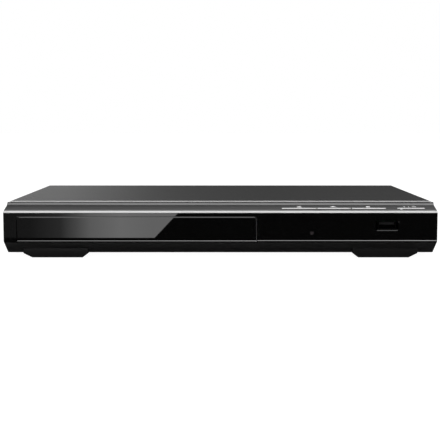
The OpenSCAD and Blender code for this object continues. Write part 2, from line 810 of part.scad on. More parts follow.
module main_chips() {
    color([0.12, 0.12, 0.12]) for (c = CHIPS) {
        translate([c[0] - c[2] / 2, c[1] - c[3] / 2, board_top + 0.15]) cube([c[2], c[3], 1.6]);
        for (s = [-1, 1], i = [0:c[4] - 1])
            translate([c[0] + s * (c[2] / 2 + 0.5), c[1] + (i - (c[4] - 1) / 2) * 1.2, board_top + 0.3])
                cube([1.4, 0.5, 0.6], center = true);
    }
}

// Plug connectors of the loader and the power lead on the two boards
CONNECTORS = [[28, -30, 6, 22], [28, 2, 6, 14], [98, 10, 6, 14], [113.5, 10, 6, 14]];

module board_connectors() {
    color("ivory") for (c = CONNECTORS) difference() {
        translate([c[0] - c[2] / 2, c[1] - c[3] / 2, board_top]) cube([c[2], c[3], 6]);
        translate([c[0] - c[2] / 2 + 1, c[1] - c[3] / 2 + 1, board_top + 1.5]) cube([c[2] - 2, c[3] - 2, 6]);
    }
}

// Electrolytic capacitors: place, radius and height
CAPS = [
    [130, 32, 8, 20], [116, -20, 4, 11], [116, -8, 4, 11], [145, -24, 5, 12], [126, -30, 3, 9],
    [62, 42, 3, 7], [70, 42, 3, 7], [94, -36, 4, 9], [36, 44, 2.5, 6], [86, 44, 2.5, 6]
];

module capacitors() {
    color("midnightblue") for (c = CAPS) {
        post(c[0], c[1], board_top, board_top + 0.6, c[2] - 0.3);
        post(c[0], c[1], board_top + 0.6, board_top + c[3], c[2]);
    }
}

module power_board() {
    color("tan") difference() {
        block([power_x[0], power_y[0], board_z], [power_x[1], power_y[1], board_top]);
        for (p = STANDOFFS) post(p[0], p[1], board_z - 1, board_top + 1, shank_r + 0.1);
    }
}

// Small transformer: ferrite core round a wound bobbin
module transformer() {
    x = 138;
    y = 2;
    color("gold") difference() {
        block([x - 11, y - 10, board_top + 1], [x + 11, y + 10, board_top + 17]);
        block([x - 12, y - 6, board_top + 4], [x + 12, y - 3, board_top + 14]);
        block([x - 12, y + 3, board_top + 4], [x + 12, y + 6, board_top + 14]);
    }
    color("dimgray") {
        block([x - 10, y - 6, board_top], [x + 10, y - 3.2, board_top + 13]);
        block([x - 10, y + 3.2, board_top], [x + 10, y + 6, board_top + 13]);
    }
}

// Glass fuse in its two clips
module fuse() {
    y = 58;
    z = board_top + 5;
    color("silver") for (x = [117, 133]) difference() {
        block([x - 2, y - 3.4, board_top], [x + 2, y + 3.4, z + 1.5]);
        translate([x, y, z]) rotate([0, 90, 0]) cylinder(h = 5, r = 2.6, center = true);
        block([x - 3, y - 1.8, z], [x + 3, y + 1.8, z + 5]);
    }
    color("lightblue") translate([115.5, y, z]) rotate([0, 90, 0]) cylinder(h = 19, r = 2.6);
}

// Wires that arch from the power board's connector to the main board's
module power_harness() {
    from = CONNECTORS[2][0];
    to = CONNECTORS[3][0];
    r = (to - from) / 2;
    z = board_top + 6;
    color("firebrick") for (i = [-2:2]) {
        for (x = [from, to]) post(x, CONNECTORS[2][1] + 2.2 * i, board_top + 1.5, z, 0.7);
        translate([from + r, CONNECTORS[2][1] + 2.2 * i, z]) rotate([90, 0, 0])
            rotate_extrude(angle = 180) translate([r, 0]) circle(0.7);
    }
}

// Sockets on the rear wall

JACKS = concat(
    [for (i = [0:2], row = [0, 1]) [jack_x + i * jack_pitch, jack_low + row * jack_row]],
    [[coax_x, jack_low]]
);
jack_block_d = 11;
jack_wall_y = rear_y - sheet_t;
jack_t = 0.5;
jack_step = 1;
jack_tail = 6;

// Black housings of the phono jacks, standing on the main board
module rca_block() {
    color([0.1, 0.1, 0.1]) difference() {
        union() {
            block([jack_x - 6.5, jack_wall_y - jack_block_d, board_top],
                [jack_x + 2 * jack_pitch + 6.5, jack_wall_y, jack_low + jack_row + 6]);
            block([coax_x - 5.5, jack_wall_y - jack_block_d, board_top],
                [coax_x + 5.5, jack_wall_y, jack_low + 6]);
        }
        for (j = JACKS) translate([j[0], jack_wall_y + 1, j[1]]) rotate([90, 0, 0])
            cylinder(h = jack_tail + 1.5, r = jack_r - jack_t + run_gap);
    }
}

// Nickel sleeves of the phono jacks, stepped in where they enter their housing
module rca_sleeves() {
    len = back_y - jack_wall_y + jack_tail;
    color("silver") for (j = JACKS) translate([j[0], back_y, j[1]]) rotate([90, 0, 0]) difference() {
        union() {
            cylinder(h = jack_out, r = jack_r);
            cylinder(h = len, r = jack_r - jack_t);
        }
        translate([0, 0, -1]) cylinder(h = jack_out - jack_step + 1, r = jack_r - jack_t);
        translate([0, 0, -1]) cylinder(h = len - 1, r = jack_r - 2 * jack_t);
    }
}

// Coloured insulators inside the sleeves, each with the hole for the plug's pin
module rca_inserts() {
    inset = 0.6;
    len = jack_out - jack_step - inset - 0.1;
    color("orange") for (j = JACKS) translate([j[0], back_y - inset, j[1]]) rotate([90, 0, 0]) difference() {
        cylinder(h = len, r = jack_r - jack_t - run_gap);
        translate([0, 0, -1]) cylinder(h = len, r = 1.65);
    }
}

// Metal shell of the video socket, narrower at its foot
module hdmi_shape(grow) {
    w = hdmi_w / 2 + grow;
    z0 = board_top + 0.6 - grow;
    z1 = board_top + 0.6 + hdmi_h + grow;
    polygon([[hdmi_x - w + 2.2, z0], [hdmi_x + w - 2.2, z0], [hdmi_x + w, z0 + 1.9],
        [hdmi_x + w, z1], [hdmi_x - w, z1], [hdmi_x - w, z0 + 1.9]]);
}

module hdmi_socket() {
    color("silver") {
        difference() {
            along_y(rear_y - 12, rear_y + 0.6) hdmi_shape(0);
            along_y(rear_y - 11, rear_y + 2) hdmi_shape(-0.4);
        }
        for (s = [-1, 1]) block([hdmi_x + s * 5.6 - 0.6, rear_y - 11, board_top],
            [hdmi_x + s * 5.6 + 0.6, rear_y - 8, board_top + 1.3]);
    }
}

module hdmi_tongue() {
    mid = board_top + 0.6 + hdmi_h * 0.58;
    color([0.1, 0.1, 0.1]) {
        block([hdmi_x - 5.6, rear_y - 11, mid - 0.7], [hdmi_x + 5.6, rear_y - 1, mid + 0.7]);
        along_y(rear_y - 11, rear_y - 9.5) hdmi_shape(-0.4);
    }
}

// Figure-of-eight mains inlet, flange outside the wall and body inside
module mains_inlet() {
    color([0.08, 0.08, 0.08]) difference() {
        union() {
            along_y(rear_y, rear_y + 1.6)
                round_rect([inlet_x - 13.4, inlet_z - 8.6], [inlet_x + 13.4, inlet_z + 8.6], 1.5);
            along_y(rear_y - 15, rear_y)
                round_rect([inlet_x - 11, inlet_z - 7], [inlet_x + 11, inlet_z + 7], 1);
            block([inlet_x - 9, rear_y - 15, board_top], [inlet_x + 9, rear_y - 9, inlet_z - 6.9]);
        }
        along_y(rear_y - 12, rear_y + 3)
            slot([inlet_x - (inlet_w - inlet_h) / 2, inlet_z],
                [inlet_x + (inlet_w - inlet_h) / 2, inlet_z], inlet_h / 2);
    }
}

module inlet_pins() {
    color("gold") for (s = [-1, 1]) translate([inlet_x + s * inlet_pitch / 2, rear_y - 2, inlet_z])
        rotate([90, 0, 0]) cylinder(h = 10, r = 1.2);
}

// Loader

// Cross-section of one side rail: wall, ledge under the tray's edge and upright guide
module rail_section(s) {
    ledge_in = tray_w / 2 - tray_flange_w - 1;
    polygon([
        [tray_x + s * rail_out, deck_z],
        [tray_x + s * rail_out, wall_top],
        [tray_x + s * (rail_out - loader_t), wall_top],
        [tray_x + s * (rail_out - loader_t), tray_low + tray_flange_t + guide_gap],
        [tray_x + s * rail_in, tray_low + tray_flange_t + guide_gap],
        [tray_x + s * rail_in, tray_low - guide_gap],
        [tray_x + s * ledge_in, tray_low - guide_gap],
        [tray_x + s * ledge_in, tray_low - guide_gap - 1.8],
        [tray_x + s * (rail_out - loader_t), tray_low - guide_gap - 1.8],
        [tray_x + s * (rail_out - loader_t), deck_z]
    ]);
}

// Places along the rails of the tabs that hold the tray's edges down
TABS = [loader_y + 4, loader_y + 62, loader_y + 116];

// Moulded frame: deck round the bay of the traverse, side rails, tabs, gear pins and hinge ears
module loader_frame() {
    tab_in = tray_w / 2 - tray_flange_w + 0.4;
    tab_low = tray_low + tray_flange_t + guide_gap;
    color([0.2, 0.2, 0.22]) difference() {
        union() {
            difference() {
                block([tray_x - rail_out, loader_y, deck_z], [tray_x + rail_out, loader_end, deck_top]);
                block([tray_x - bay_x, bay_front, deck_z - 1], [tray_x + bay_x, bay_end, deck_top + 1]);
            }
            for (s = [-1, 1]) {
                along_y(loader_y, loader_end) rail_section(s);
                for (y = TABS)
                    block([tray_x + (s > 0 ? tab_in : loader_t - rail_out), y, tab_low],
                        [tray_x + (s > 0 ? rail_out - loader_t : -tab_in), y + 7, tab_low + 1.5]);
                difference() {
                    block([tray_x + s * (bay_x - 1.2) - 1.2 + s * 1.2, hinge_y - 4, deck_top - 1],
                        [tray_x + s * (bay_x - 1.2) + 1.2 + s * 1.2, hinge_y + 4, rod_z + 4]);
                    translate([tray_x + s * bay_x, hinge_y, rod_z]) rotate([0, 90, 0])
                        cylinder(h = 8, r = hinge_r + run_gap, center = true);
                }
            }
            for (p = LOADER_BOSSES) post(p[0], p[1], loader_boss_z, deck_z + 0.5, boss_r);
            post(rack_gear_x, gear_y, deck_top - 1, rack_gear_top + 0.4, gear_pin_r);
            post(pulley_x, gear_y, deck_top - 1, pulley_z + pulley_t + 0.4, gear_pin_r);
            for (x = [rack_gear_x, pulley_x]) post(x, gear_y, deck_top - 1, wheel_z - 0.2, gear_pin_r + 1.2);
        }
        along_x(-body_w, body_w) polygon([
            [loader_y - 1, under_z(loader_y - 1, bezel_t + under_gap)],
            [loader_y + 8, under_z(loader_y + 8, bezel_t + under_gap)],
            [loader_y - 1, under_z(loader_y + 8, bezel_t + under_gap)]
        ]);
        for (p = LOADER_BOSSES) post(p[0], p[1], loader_boss_z - 1, deck_top + 1, shank_r + 0.1);
        post(motor_x, motor_y, deck_z - 1, deck_top + 1, motor_r + 0.2);
    }
}

// Motor of the tray, hung in the deck, its shaft up
module tray_motor() {
    color("silver") {
        difference() {
            post(motor_x, motor_y, motor_z, motor_z + motor_h, motor_r - 0.1);
            for (s = [-1, 1]) translate([motor_x - motor_r, motor_y + s * motor_r * 0.9 - 1, motor_z - 1])
                cube([2 * motor_r, 2, motor_h + 2]);
        }
        post(motor_x, motor_y, motor_z + motor_h, motor_z + motor_h + 0.3, 3);
        difference() {
            post(motor_x, motor_y, deck_top, deck_top + 0.8, motor_r + 2.4);
            post(motor_x, motor_y, deck_top - 1, deck_top + 2, motor_r - 0.1);
        }
    }
}

// A grooved pulley standing on zero
module pulley(r, t) {
    rotate_extrude() polygon([[0, 0], [r + pulley_rim, 0], [r + pulley_rim, 0.5], [r, 0.5 + pulley_rim],
        [r, t - 0.5 - pulley_rim], [r + pulley_rim, t - 0.5], [r + pulley_rim, t], [0, t]]);
}

module motor_pulley() {
    color("ivory") translate([motor_x, motor_y, pulley_z]) pulley(motor_pulley_r, pulley_t);
}

// Corners of a loop round a small circle at the origin and a large one along +X
function belt_line(big, small, len, lean) =
    concat(arc([0, 0], small, lean, 360 - lean, 16), arc([len, 0], big, -lean, lean, 24));

// Belt round both pulleys, a closed loop
module drive_belt() {
    slack = 0.2;
    height = 0.7;
    d = [pulley_x - motor_x, gear_y - motor_y];
    lean = acos((motor_pulley_r - pulley_r) / norm(d));
    color([0.1, 0.1, 0.1])
        translate([motor_x, motor_y, pulley_z + (pulley_t - height) / 2]) rotate(atan2(d[1], d[0]))
            linear_extrude(height) difference() {
                polygon(belt_line(pulley_r + slack + belt_t, motor_pulley_r + slack + belt_t, norm(d), lean));
                polygon(belt_line(pulley_r + slack, motor_pulley_r + slack, norm(d), lean));
            }
}

// Half a tooth, in degrees, by which the pinion is turned to mesh with the wheel at its left
pinion_turn = 180 / pinion_teeth;

// Pulley with the pinion under it, free on its pin
module pulley_gear() {
    color("ivory") translate([pulley_x, gear_y, 0]) difference() {
        union() {
            translate([0, 0, wheel_z]) linear_extrude(wheel_t)
                rotate(pinion_turn) gear_outline(wheel_mod, pinion_teeth);
            post(0, 0, wheel_z + wheel_t, pulley_z, pinion_r - 1);
            translate([0, 0, pulley_z]) pulley(pulley_r, pulley_t);
        }
        post(0, 0, 0, wall_top, gear_pin_r + run_gap);
    }
}

// Large wheel with the rack's gear on it; a gap of the wheel faces the pinion
module tray_gear() {
    color("white") translate([rack_gear_x, gear_y, 0]) difference() {
        union() {
            translate([0, 0, wheel_z]) linear_extrude(wheel_t) rotate(180) gear_outline(wheel_mod, wheel_teeth);
            translate([0, 0, rack_gear_z]) linear_extrude(rack_gear_top - rack_gear_z)
                gear_outline(rack_mod, rack_teeth);
        }
        post(0, 0, 0, wall_top, gear_pin_r + run_gap);
    }
}

// Teeth of the rack, pointing at the gear, with a gap facing the gear's tooth at rest
module rack_teeth_outline(y0, y1) {
    pitch = PI * rack_mod;
    half = pitch / 4 - backlash / 4;
    tip = half - 0.9 * rack_mod * tan(20);
    root = half + 1.2 * rack_mod * tan(20);
    first = ceil((y0 - gear_y) / pitch + 0.5);
    last = floor((y1 - gear_y) / pitch - 0.5);
    for (k = [first:last]) translate([tray_x + rack_line, gear_y + (k + 0.5) * pitch]) polygon([
        [-0.9 * rack_mod, -tip], [-0.9 * rack_mod, tip],
        [1.2 * rack_mod + 0.1, root], [1.2 * rack_mod + 0.1, -root]
    ]);
    back = tray_w / 2 - tray_flange_w - 1.5;
    translate([tray_x + rack_line + 1.2 * rack_mod, y0]) square([back - rack_line - 1.2 * rack_mod, y1 - y0]);
}

window_r = turntable_r + 3;

// Window for the turntable and the pickup, open at the back of the tray
module tray_window(grow) {
    translate([tray_x, disc_y]) circle(window_r + grow);
    translate([tray_x - window_w / 2 - grow, disc_y + 6 - grow]) square([window_w + 2 * grow, loader_l]);
}

// Moulded tray with the two disc recesses, its edge flanges and the rack under its right side
module disc_tray() {
    body_x = tray_w / 2 - tray_flange_w;
    skin = 1.8;
    color([0.12, 0.12, 0.13]) {
        difference() {
            union() {
                block([tray_x - body_x, tray_front, tray_low], [tray_x + body_x, tray_end, tray_top]);
                block([tray_x - tray_w / 2, loader_y + 1, tray_low],
                    [tray_x + tray_w / 2, tray_end, tray_low + tray_flange_t]);
            }
            post(tray_x, disc_y, recess_z, tray_top + 1, disc_d / 2 + disc_gap);
            post(tray_x, disc_y, small_z, tray_top + 1, small_disc_d / 2 + disc_gap);
            translate([0, 0, tray_low - 1]) linear_extrude(tray_top - tray_low + 2) tray_window(0);
            for (s = [-1, 1]) translate([tray_x + s * (disc_d / 2 + 1), tray_front + 16, recess_z - 0.9])
                cylinder(h = recess_h + 2, r = 9);
            translate([0, 0, tray_low - 1]) linear_extrude(tray_top - tray_low + 1 - skin) difference() {
                translate([tray_x - body_x + skin, tray_front + skin])
                    square([2 * (body_x - skin), tray_end - tray_front - 2 * skin]);
                translate([tray_x, disc_y]) circle(disc_d / 2 + disc_gap + skin);
                tray_window(skin);
                for (s = [-1, 1]) translate([tray_x + s * (disc_d / 2 + 1), tray_front + 16]) circle(9 + skin);
                translate([tray_x + rack_line - 2, tray_front]) square([body_x, loader_l]);
            }
        }
        translate([0, 0, rack_bottom]) linear_extrude(tray_low - rack_bottom)
            rack_teeth_outline(gear_y - 9, gear_y + tray_travel + 9);
    }
}

// Door on the front of the tray: glossy plate with a lip below, and two hooks behind
module tray_door() {
    color([0.05, 0.05, 0.05]) {
        intersection() {
            along_y(face_y - 1, face_y + door_t) door_outline(0);
            along_x(-body_w, body_w) polygon(concat(
                [[face_y + door_t, door_low], [face_y + door_t, body_h], [face_y, body_h]],
                arc(lip_mid, lip_r, 180, 180 + lip_turn, 4)
            ));
        }
        for (x = [-40, 40])
            block([tray_x + x - 4, tray_front - 0.5, tray_low - 7], [tray_x + x + 4, tray_front + 2.4, tray_low]);
    }
}

// Slider whose slanted slot lets the front of the traverse down
module cam_slider() {
    z0 = rod_z - traverse_drop - cam_pin_r - 1.4;
    z1 = rod_z + cam_pin_r + 3;
    x0 = tray_x - cam_pin_r - 4;
    x1 = tray_x + cam_travel + cam_pin_r + 4;
    color("ivory") difference() {
        union() {
            block([x0, cam_y - cam_t / 2, z0], [x1, cam_y + cam_t / 2, z1]);
            block([x0, cam_y - cam_t / 2 - 2.8, deck_top + guide_gap],
                [x1, cam_y, deck_top + guide_gap + 1.6]);
        }
        along_y(cam_y - cam_t, cam_y + cam_t)
            slot([tray_x, rod_z], [tray_x + cam_travel, rod_z - traverse_drop], cam_pin_r + cam_slot_gap);
    }
}

spindle_deck_end = disc_y + 16.5;
spindle_deck_low = 15.5;
spindle_deck_top = 17.5;
sled_motor_r = 6;
sled_motor_l = 11.8;

// Frame that carries the turntable and the pickup, hinged at its back and lifted at its front
module traverse_frame() {
    x0 = tray_x - traverse_w / 2;
    x1 = tray_x + traverse_w / 2;
    color([0.35, 0.35, 0.37]) {
        difference() {
            union() {
                difference() {
                    block([x0, traverse_front, traverse_low], [x1, traverse_end, traverse_top]);
                    block([x0 + rail_w, traverse_front + traverse_bar, traverse_low - 1],
                        [x1 - rail_w, traverse_end - traverse_bar, traverse_top + 1]);
                }
                block([x0 + 1, traverse_front + 1, spindle_deck_low],
                    [x1 - 1, spindle_deck_end, spindle_deck_top]);
                for (s = [-1, 1])
                    block([tray_x + s * rod_x - 2.6, spindle_deck_end - 5.5, spindle_deck_low],
                        [tray_x + s * rod_x + 2.6, spindle_deck_end, rod_z + rod_r + 1.2]);
            }
            block([tray_x + rod_x + 2.6, traverse_front + traverse_bar, traverse_low - 1],
                [x1 - rail_w, spindle_deck_end + 1, traverse_top + 1]);
            for (s = [-1, 1]) translate([tray_x + s * rod_x, traverse_end - 3, rod_z]) rotate([90, 0, 0])
                cylinder(h = traverse_end - spindle_deck_end + 1, r = rod_r + 0.02);
            translate([screw_x + tray_x, traverse_end - 3, rod_z]) rotate([90, 0, 0])
                cylinder(h = 10, r = screw_r + run_gap);
            translate([tray_x + screw_x, traverse_front + traverse_bar + sled_motor_l + 0.8, rod_z]) rotate([90, 0, 0])
                cylinder(h = sled_motor_l + 0.8, r = sled_motor_r + 0.1);
            post(tray_x, disc_y, spindle_deck_low - 1, spindle_deck_top + 1, 4);
            for (s = [-1, 1]) translate([0, 0, traverse_low - 1]) linear_extrude(20)
                slot([tray_x + s * 20, disc_y - 8], [tray_x + s * 20, disc_y + 8], 2.4);
        }
        for (s = [-1, 1]) translate([tray_x + s * (traverse_w / 2 - 0.5), hinge_y, rod_z]) rotate([0, s * 90, 0])
            cylinder(h = 3.4, r = hinge_r);
        translate([tray_x, traverse_front + 0.5, rod_z]) rotate([90, 0, 0])
            cylinder(h = 6.5, r = cam_pin_r);
    }
}

// Two polished rods that carry the pickup
module guide_rods() {
    color("silver") for (s = [-1, 1]) translate([tray_x + s * rod_x, traverse_end - 3, rod_z]) rotate([90, 0, 0])
        cylinder(h = traverse_end - spindle_deck_end - 3 + 4, r = rod_r);
}

spindle_r = 1;
rotor_r = 13.5;
rotor_low = 19.2;
rotor_top = 23.8;

// Fixed half of the spindle motor: base plate, bearing and nine wound poles
module spindle_motor() {
    color("peru") difference() {
        union() {
            post(tray_x, disc_y, spindle_deck_top, spindle_deck_top + 0.9, 14.5);
            post(tray_x, disc_y, spindle_deck_low - 3, rotor_top - 1.6, 3);
            translate([tray_x, disc_y, rotor_low]) linear_extrude(2.4) {
                circle(6);
                for (i = [0:8]) rotate(i * 40) translate([0, -1.4]) square([11.2, 2.8]);
            }
        }
        post(tray_x, disc_y, spindle_deck_low - 2.2, rotor_top, spindle_r + run_gap);
    }
}

// Turning half of the spindle motor: cup and shaft
module spindle_rotor() {
    color("gray") {
        difference() {
            post(tray_x, disc_y, rotor_low, rotor_top, rotor_r);
            post(tray_x, disc_y, rotor_low - 1, rotor_top - 1, rotor_r - 1.2);
        }
        post(tray_x, disc_y, spindle_deck_low - 2, disc_z + 1.6, spindle_r);
    }
}

// Turntable with its centring cone and its rubber-faced rest
module turntable() {
    color([0.15, 0.15, 0.15]) translate([tray_x, disc_y, 0]) rotate_extrude() polygon([
        [spindle_r + 0.02, rotor_top], [turntable_r - 5, rotor_top], [turntable_r - 4, disc_z - 1.8],
        [turntable_r, disc_z - 1.6], [turntable_r, disc_z], [turntable_r - 4, disc_z],
        [turntable_r - 4, disc_z - 0.3], [cone_r + 0.4, disc_z - 0.3], [cone_r, disc_z], [cone_r, disc_z + 1],
        [cone_r - 1.3, disc_z + 2], [4, disc_z + 2], [4, disc_z + 1.2], [spindle_r + 0.02, disc_z + 1.2]
    ]);
}

// Pickup: carriage on the rods, optical block on it and the well of the lens
module pickup_sled() {
    low = rod_z - rod_r - 1;
    mid = rod_z + rod_r + 0.9;
    top = traverse_top + 2;
    color([0.45, 0.45, 0.47]) difference() {
        union() {
            block([tray_x - sled_half, sled_front + 4, low], [tray_x + sled_half, sled_front + sled_l, mid]);
            block([tray_x - sled_top_half, sled_front, low + 1],
                [tray_x + sled_top_half, sled_front + sled_l - 5, top - 1.6]);
            block([tray_x - 12, sled_front + 0.8, low + 1], [tray_x + 12, sled_front + 22, top]);
            block([tray_x + sled_half - 0.5, sled_front + 12, rod_z - 1.4],
                [tray_x + sled_half + 1.2, sled_front + 26, rod_z + 1.4]);
        }
        for (s = [-1, 1]) translate([tray_x + s * rod_x, sled_front + sled_l + 1, rod_z]) rotate([90, 0, 0])
            cylinder(h = sled_l + 2, r = rod_r + run_gap);
        block([tray_x - sled_half - 1, sled_front + 12, low - 1],
            [tray_x - rod_x + 2.4, sled_front + 26, mid + 1]);
        block([tray_x - lens_half - joint_gap, lens_y - lens_half, mid - 0.5],
            [tray_x + lens_half + joint_gap, lens_y + lens_half + 3, top + 1]);
    }
}

// Holder that carries the lens up and down on its wires
module lens_holder() {
    low = traverse_top - 0.9;
    color([0.1, 0.1, 0.12]) difference() {
        union() {
            block([tray_x - lens_half, lens_y - lens_half + joint_gap, low],
                [tray_x + lens_half, lens_y + lens_half - joint_gap, low + 3.2]);
            post(tray_x, lens_y, low + 1, lens_z - 0.6, 3.4);
        }
        post(tray_x, lens_y, low - 1, lens_z + 1, 2.3);
    }
}

module objective_lens() {
    color("lightblue") translate([tray_x, lens_y, lens_z - 1.6]) {
        cylinder(h = 1, r = 2.28);
        intersection() {
            cylinder(h = 1.6, r = 2.28);
            translate([0, 0, -1.4]) sphere(3);
        }
    }
}

module sled_motor() {
    y0 = traverse_front + 6.3;
    color("silver") translate([tray_x + screw_x, y0 + sled_motor_l, rod_z]) rotate([90, 0, 0]) {
        difference() {
            cylinder(h = sled_motor_l, r = sled_motor_r - 0.2);
            for (s = [-1, 1]) translate([-10, s * (sled_motor_r - 0.6) - 1, -1]) cube([20, 2, sled_motor_l + 2]);
            translate([0, 0, -1]) cylinder(h = 6, r = 1.6);
        }
    }
}

// Screw that moves the pickup, from the motor to its bearing at the back
module lead_screw() {
    y0 = traverse_front + 6.3 + sled_motor_l - 4;
    color("silver") translate([tray_x + screw_x, traverse_end - 3.2, rod_z]) rotate([90, 0, 0])
        cylinder(h = traverse_end - 3.2 - y0, r = screw_r);
}

// Steel bridge over the tray, with the hole that the clamp hangs in
module clamp_bridge() {
    reach = puck_r + puck_gap + 5;
    color("silver") {
        difference() {
            block([tray_x - rail_out, disc_y - reach, bridge_z],
                [tray_x + rail_out, disc_y + reach, bridge_z + bridge_t]);
            post(tray_x, disc_y, bridge_z - 1, bridge_z + bridge_t + 1, puck_r + puck_gap);
            for (s = [-1, 1], y = [-1, 1]) translate([0, 0, bridge_z - 1]) linear_extrude(bridge_t + 2)
                slot([tray_x + s * 30, disc_y + y * 9], [tray_x + s * 58, disc_y + y * 9], 3);
        }
        for (s = [-1, 1]) block([tray_x + (s > 0 ? rail_out - loader_t : -rail_out), disc_y - reach, wall_top],
            [tray_x + (s > 0 ? rail_out : loader_t - rail_out), disc_y + reach, bridge_z]);
    }
}

// Clamp over the disc, hung in the bridge by its flange
module clamp_puck() {
    top = bridge_z + bridge_t + joint_gap;
    color("white") translate([tray_x, disc_y, 0]) difference() {
        union() {
            post(0, 0, puck_z, top + 1, puck_r);
            post(0, 0, top, top + 1.1, puck_r + puck_flange);
        }
        post(0, 0, puck_z - 1, disc_z + 3.2, cone_r + 1.2);
    }
}

module clamp_magnet() {
    top = bridge_z + bridge_t + joint_gap + 1.1;
    color("dimgray") difference() {
        post(tray_x, disc_y, top, top + 1.6, puck_r - 3);
        post(tray_x, disc_y, top - 1, top + 3, 2);
    }
}

chassis();
rear_feet();
top_cover();
cover_screws();
frame_screws();
front_bezel();
edge_trim();
ir_window();
led_lens();
eject_key();
play_key();
stop_key();
power_key();
eject_plunger();
play_plunger();
stop_plunger();
power_plunger();
key_board();
tact_switches();
usb_shell();
usb_tongue();
ir_receiver();
front_ribbon();
main_board();
main_chips();
board_connectors();
capacitors();
rca_block();
rca_sleeves();
rca_inserts();
hdmi_socket();
hdmi_tongue();
power_board();
transformer();
fuse();
power_harness();
mains_inlet();
inlet_pins();
loader_frame();
disc_tray();
tray_door();
tray_motor();
motor_pulley();
drive_belt();
pulley_gear();
tray_gear();
cam_slider();
traverse_frame();
guide_rods();
spindle_motor();
spindle_rotor();
turntable();
pickup_sled();
lens_holder();
objective_lens();
sled_motor();
lead_screw();
clamp_bridge();
clamp_puck();
clamp_magnet();
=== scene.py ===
# %% [markdown]
# # A slim disc player with a tray
#
# The player is a wide, flat black box: a steel cover with a fine paint texture, and a moulded front
# in high gloss. Its working parts arrive from the CAD model as fixed nodes, each at its real place.
# This lesson dresses them. Most nodes already have the right shape and only need a finish. A few
# pieces are modelled here, because their bevels, prints and fillets are what the eye reads first.

# %% Load the frame
import math

import bmesh
import bpy
from mathutils import Matrix, Vector


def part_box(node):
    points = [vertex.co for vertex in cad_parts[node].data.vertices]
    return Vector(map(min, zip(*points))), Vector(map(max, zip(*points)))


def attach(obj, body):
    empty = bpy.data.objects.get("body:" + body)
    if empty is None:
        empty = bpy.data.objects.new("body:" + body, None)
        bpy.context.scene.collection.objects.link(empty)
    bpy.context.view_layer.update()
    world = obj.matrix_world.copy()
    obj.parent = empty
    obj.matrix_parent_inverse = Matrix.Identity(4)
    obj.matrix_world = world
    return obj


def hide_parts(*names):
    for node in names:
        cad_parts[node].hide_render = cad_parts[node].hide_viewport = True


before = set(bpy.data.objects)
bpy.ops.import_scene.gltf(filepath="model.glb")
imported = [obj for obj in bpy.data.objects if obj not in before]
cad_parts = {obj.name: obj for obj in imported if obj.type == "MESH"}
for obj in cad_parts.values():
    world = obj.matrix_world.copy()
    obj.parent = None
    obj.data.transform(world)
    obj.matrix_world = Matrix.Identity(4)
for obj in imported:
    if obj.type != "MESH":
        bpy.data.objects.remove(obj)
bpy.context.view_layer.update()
MM = 0.001

# %% [markdown]
# ## The camera
#
# The photograph looks straight at the front from a little above. The cover's sides converge
# towards the back, and how fast they do gives the distance: about 0.78 m in front of the face.
# A lens of 86 mm then makes the 320 mm front fill the frame. Making the camera first means that
# every later choice, such as how wide a bevel must be to show, can be judged from the real view.

# %% Camera
FACE_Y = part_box("front_bezel")[0].y
CAMERA_DISTANCE = 0.776
CAMERA_HEIGHT = 0.10425
CAMERA_LENS = 86.6
CAMERA_PITCH = math.radians(5.52)
CAMERA_SHIFT = -0.0009

camera_data = bpy.data.cameras.new("camera")
camera_data.lens = CAMERA_LENS
camera_data.sensor_width = 36
camera_data.shift_x = CAMERA_SHIFT
camera_data.clip_start = 0.01
camera = bpy.data.objects.new("camera", camera_data)
camera.location = (0, FACE_Y - CAMERA_DISTANCE, CAMERA_HEIGHT)
camera.rotation_euler = (math.pi / 2 - CAMERA_PITCH, 0, 0)
bpy.context.scene.collection.objects.link(camera)
bpy.context.scene.camera = camera
bpy.context.scene.view_settings.view_transform = "Standard"
print("camera", tuple(round(v, 4) for v in camera.location))

# %% [markdown]
# ## Small helpers
#
# A finish is a node tree, and most trees start alike: a Principled shader, with a pattern on Object
# coordinates, so that it keeps its scale in metres and stays with the piece when it moves. These
# helpers make the shader, a noise, a colour ramp and a bump, so that each finish below is short.
# Others do sums, because much here is chosen by place: a mask is 1 where a finish changes, else 0.

# %% Shader helpers
def new_finish(name, color, roughness, metallic=0.0, specular=0.5, coat=0.0):
    finish = bpy.data.materials.new(name)
    finish.use_nodes = True
    shader = finish.node_tree.nodes["Principled BSDF"]
    shader.inputs["Base Color"].default_value = (*color, 1)
    shader.inputs["Roughness"].default_value = roughness
    shader.inputs["Metallic"].default_value = metallic
    shader.inputs["Specular IOR Level"].default_value = specular
    shader.inputs["Coat Weight"].default_value = coat
    return finish, finish.node_tree, shader


def add(tree, kind, **settings):
    made = tree.nodes.new(kind)
    for key, value in settings.items():
        if hasattr(made, key):
            setattr(made, key, value)
        else:
            made.inputs[key.replace("_", " ")].default_value = value
    return made


def place_of(tree):
    return add(tree, "ShaderNodeTexCoord").outputs["Object"]


def axes_of(tree, kind="Object"):
    """X, Y and Z of the place, or of the surface's direction with kind Normal."""
    axes = add(tree, "ShaderNodeSeparateXYZ")
    tree.links.new(add(tree, "ShaderNodeTexCoord").outputs[kind], axes.inputs["Vector"])
    return axes.outputs


def noise(tree, scale, detail=3.0, roughness=0.5, stretch=None):
    made = add(tree, "ShaderNodeTexNoise", Scale=scale, Detail=detail, Roughness=roughness)
    place = place_of(tree)
    if stretch:
        mapping = add(tree, "ShaderNodeMapping")
        mapping.inputs["Scale"].default_value = stretch
        tree.links.new(place, mapping.inputs["Vector"])
        place = mapping.outputs["Vector"]
    tree.links.new(place, made.inputs["Vector"])
    return made.outputs["Fac"]


def ramp(tree, factor, stops):
    made = add(tree, "ShaderNodeValToRGB")
    elements = made.color_ramp.elements
    while len(elements) < len(stops):
        elements.new(0.5)
    for element, (at, value) in zip(elements, stops):
        element.position = at
        element.color = (*value, 1)
    tree.links.new(factor, made.inputs["Fac"])
    return made.outputs["Color"]


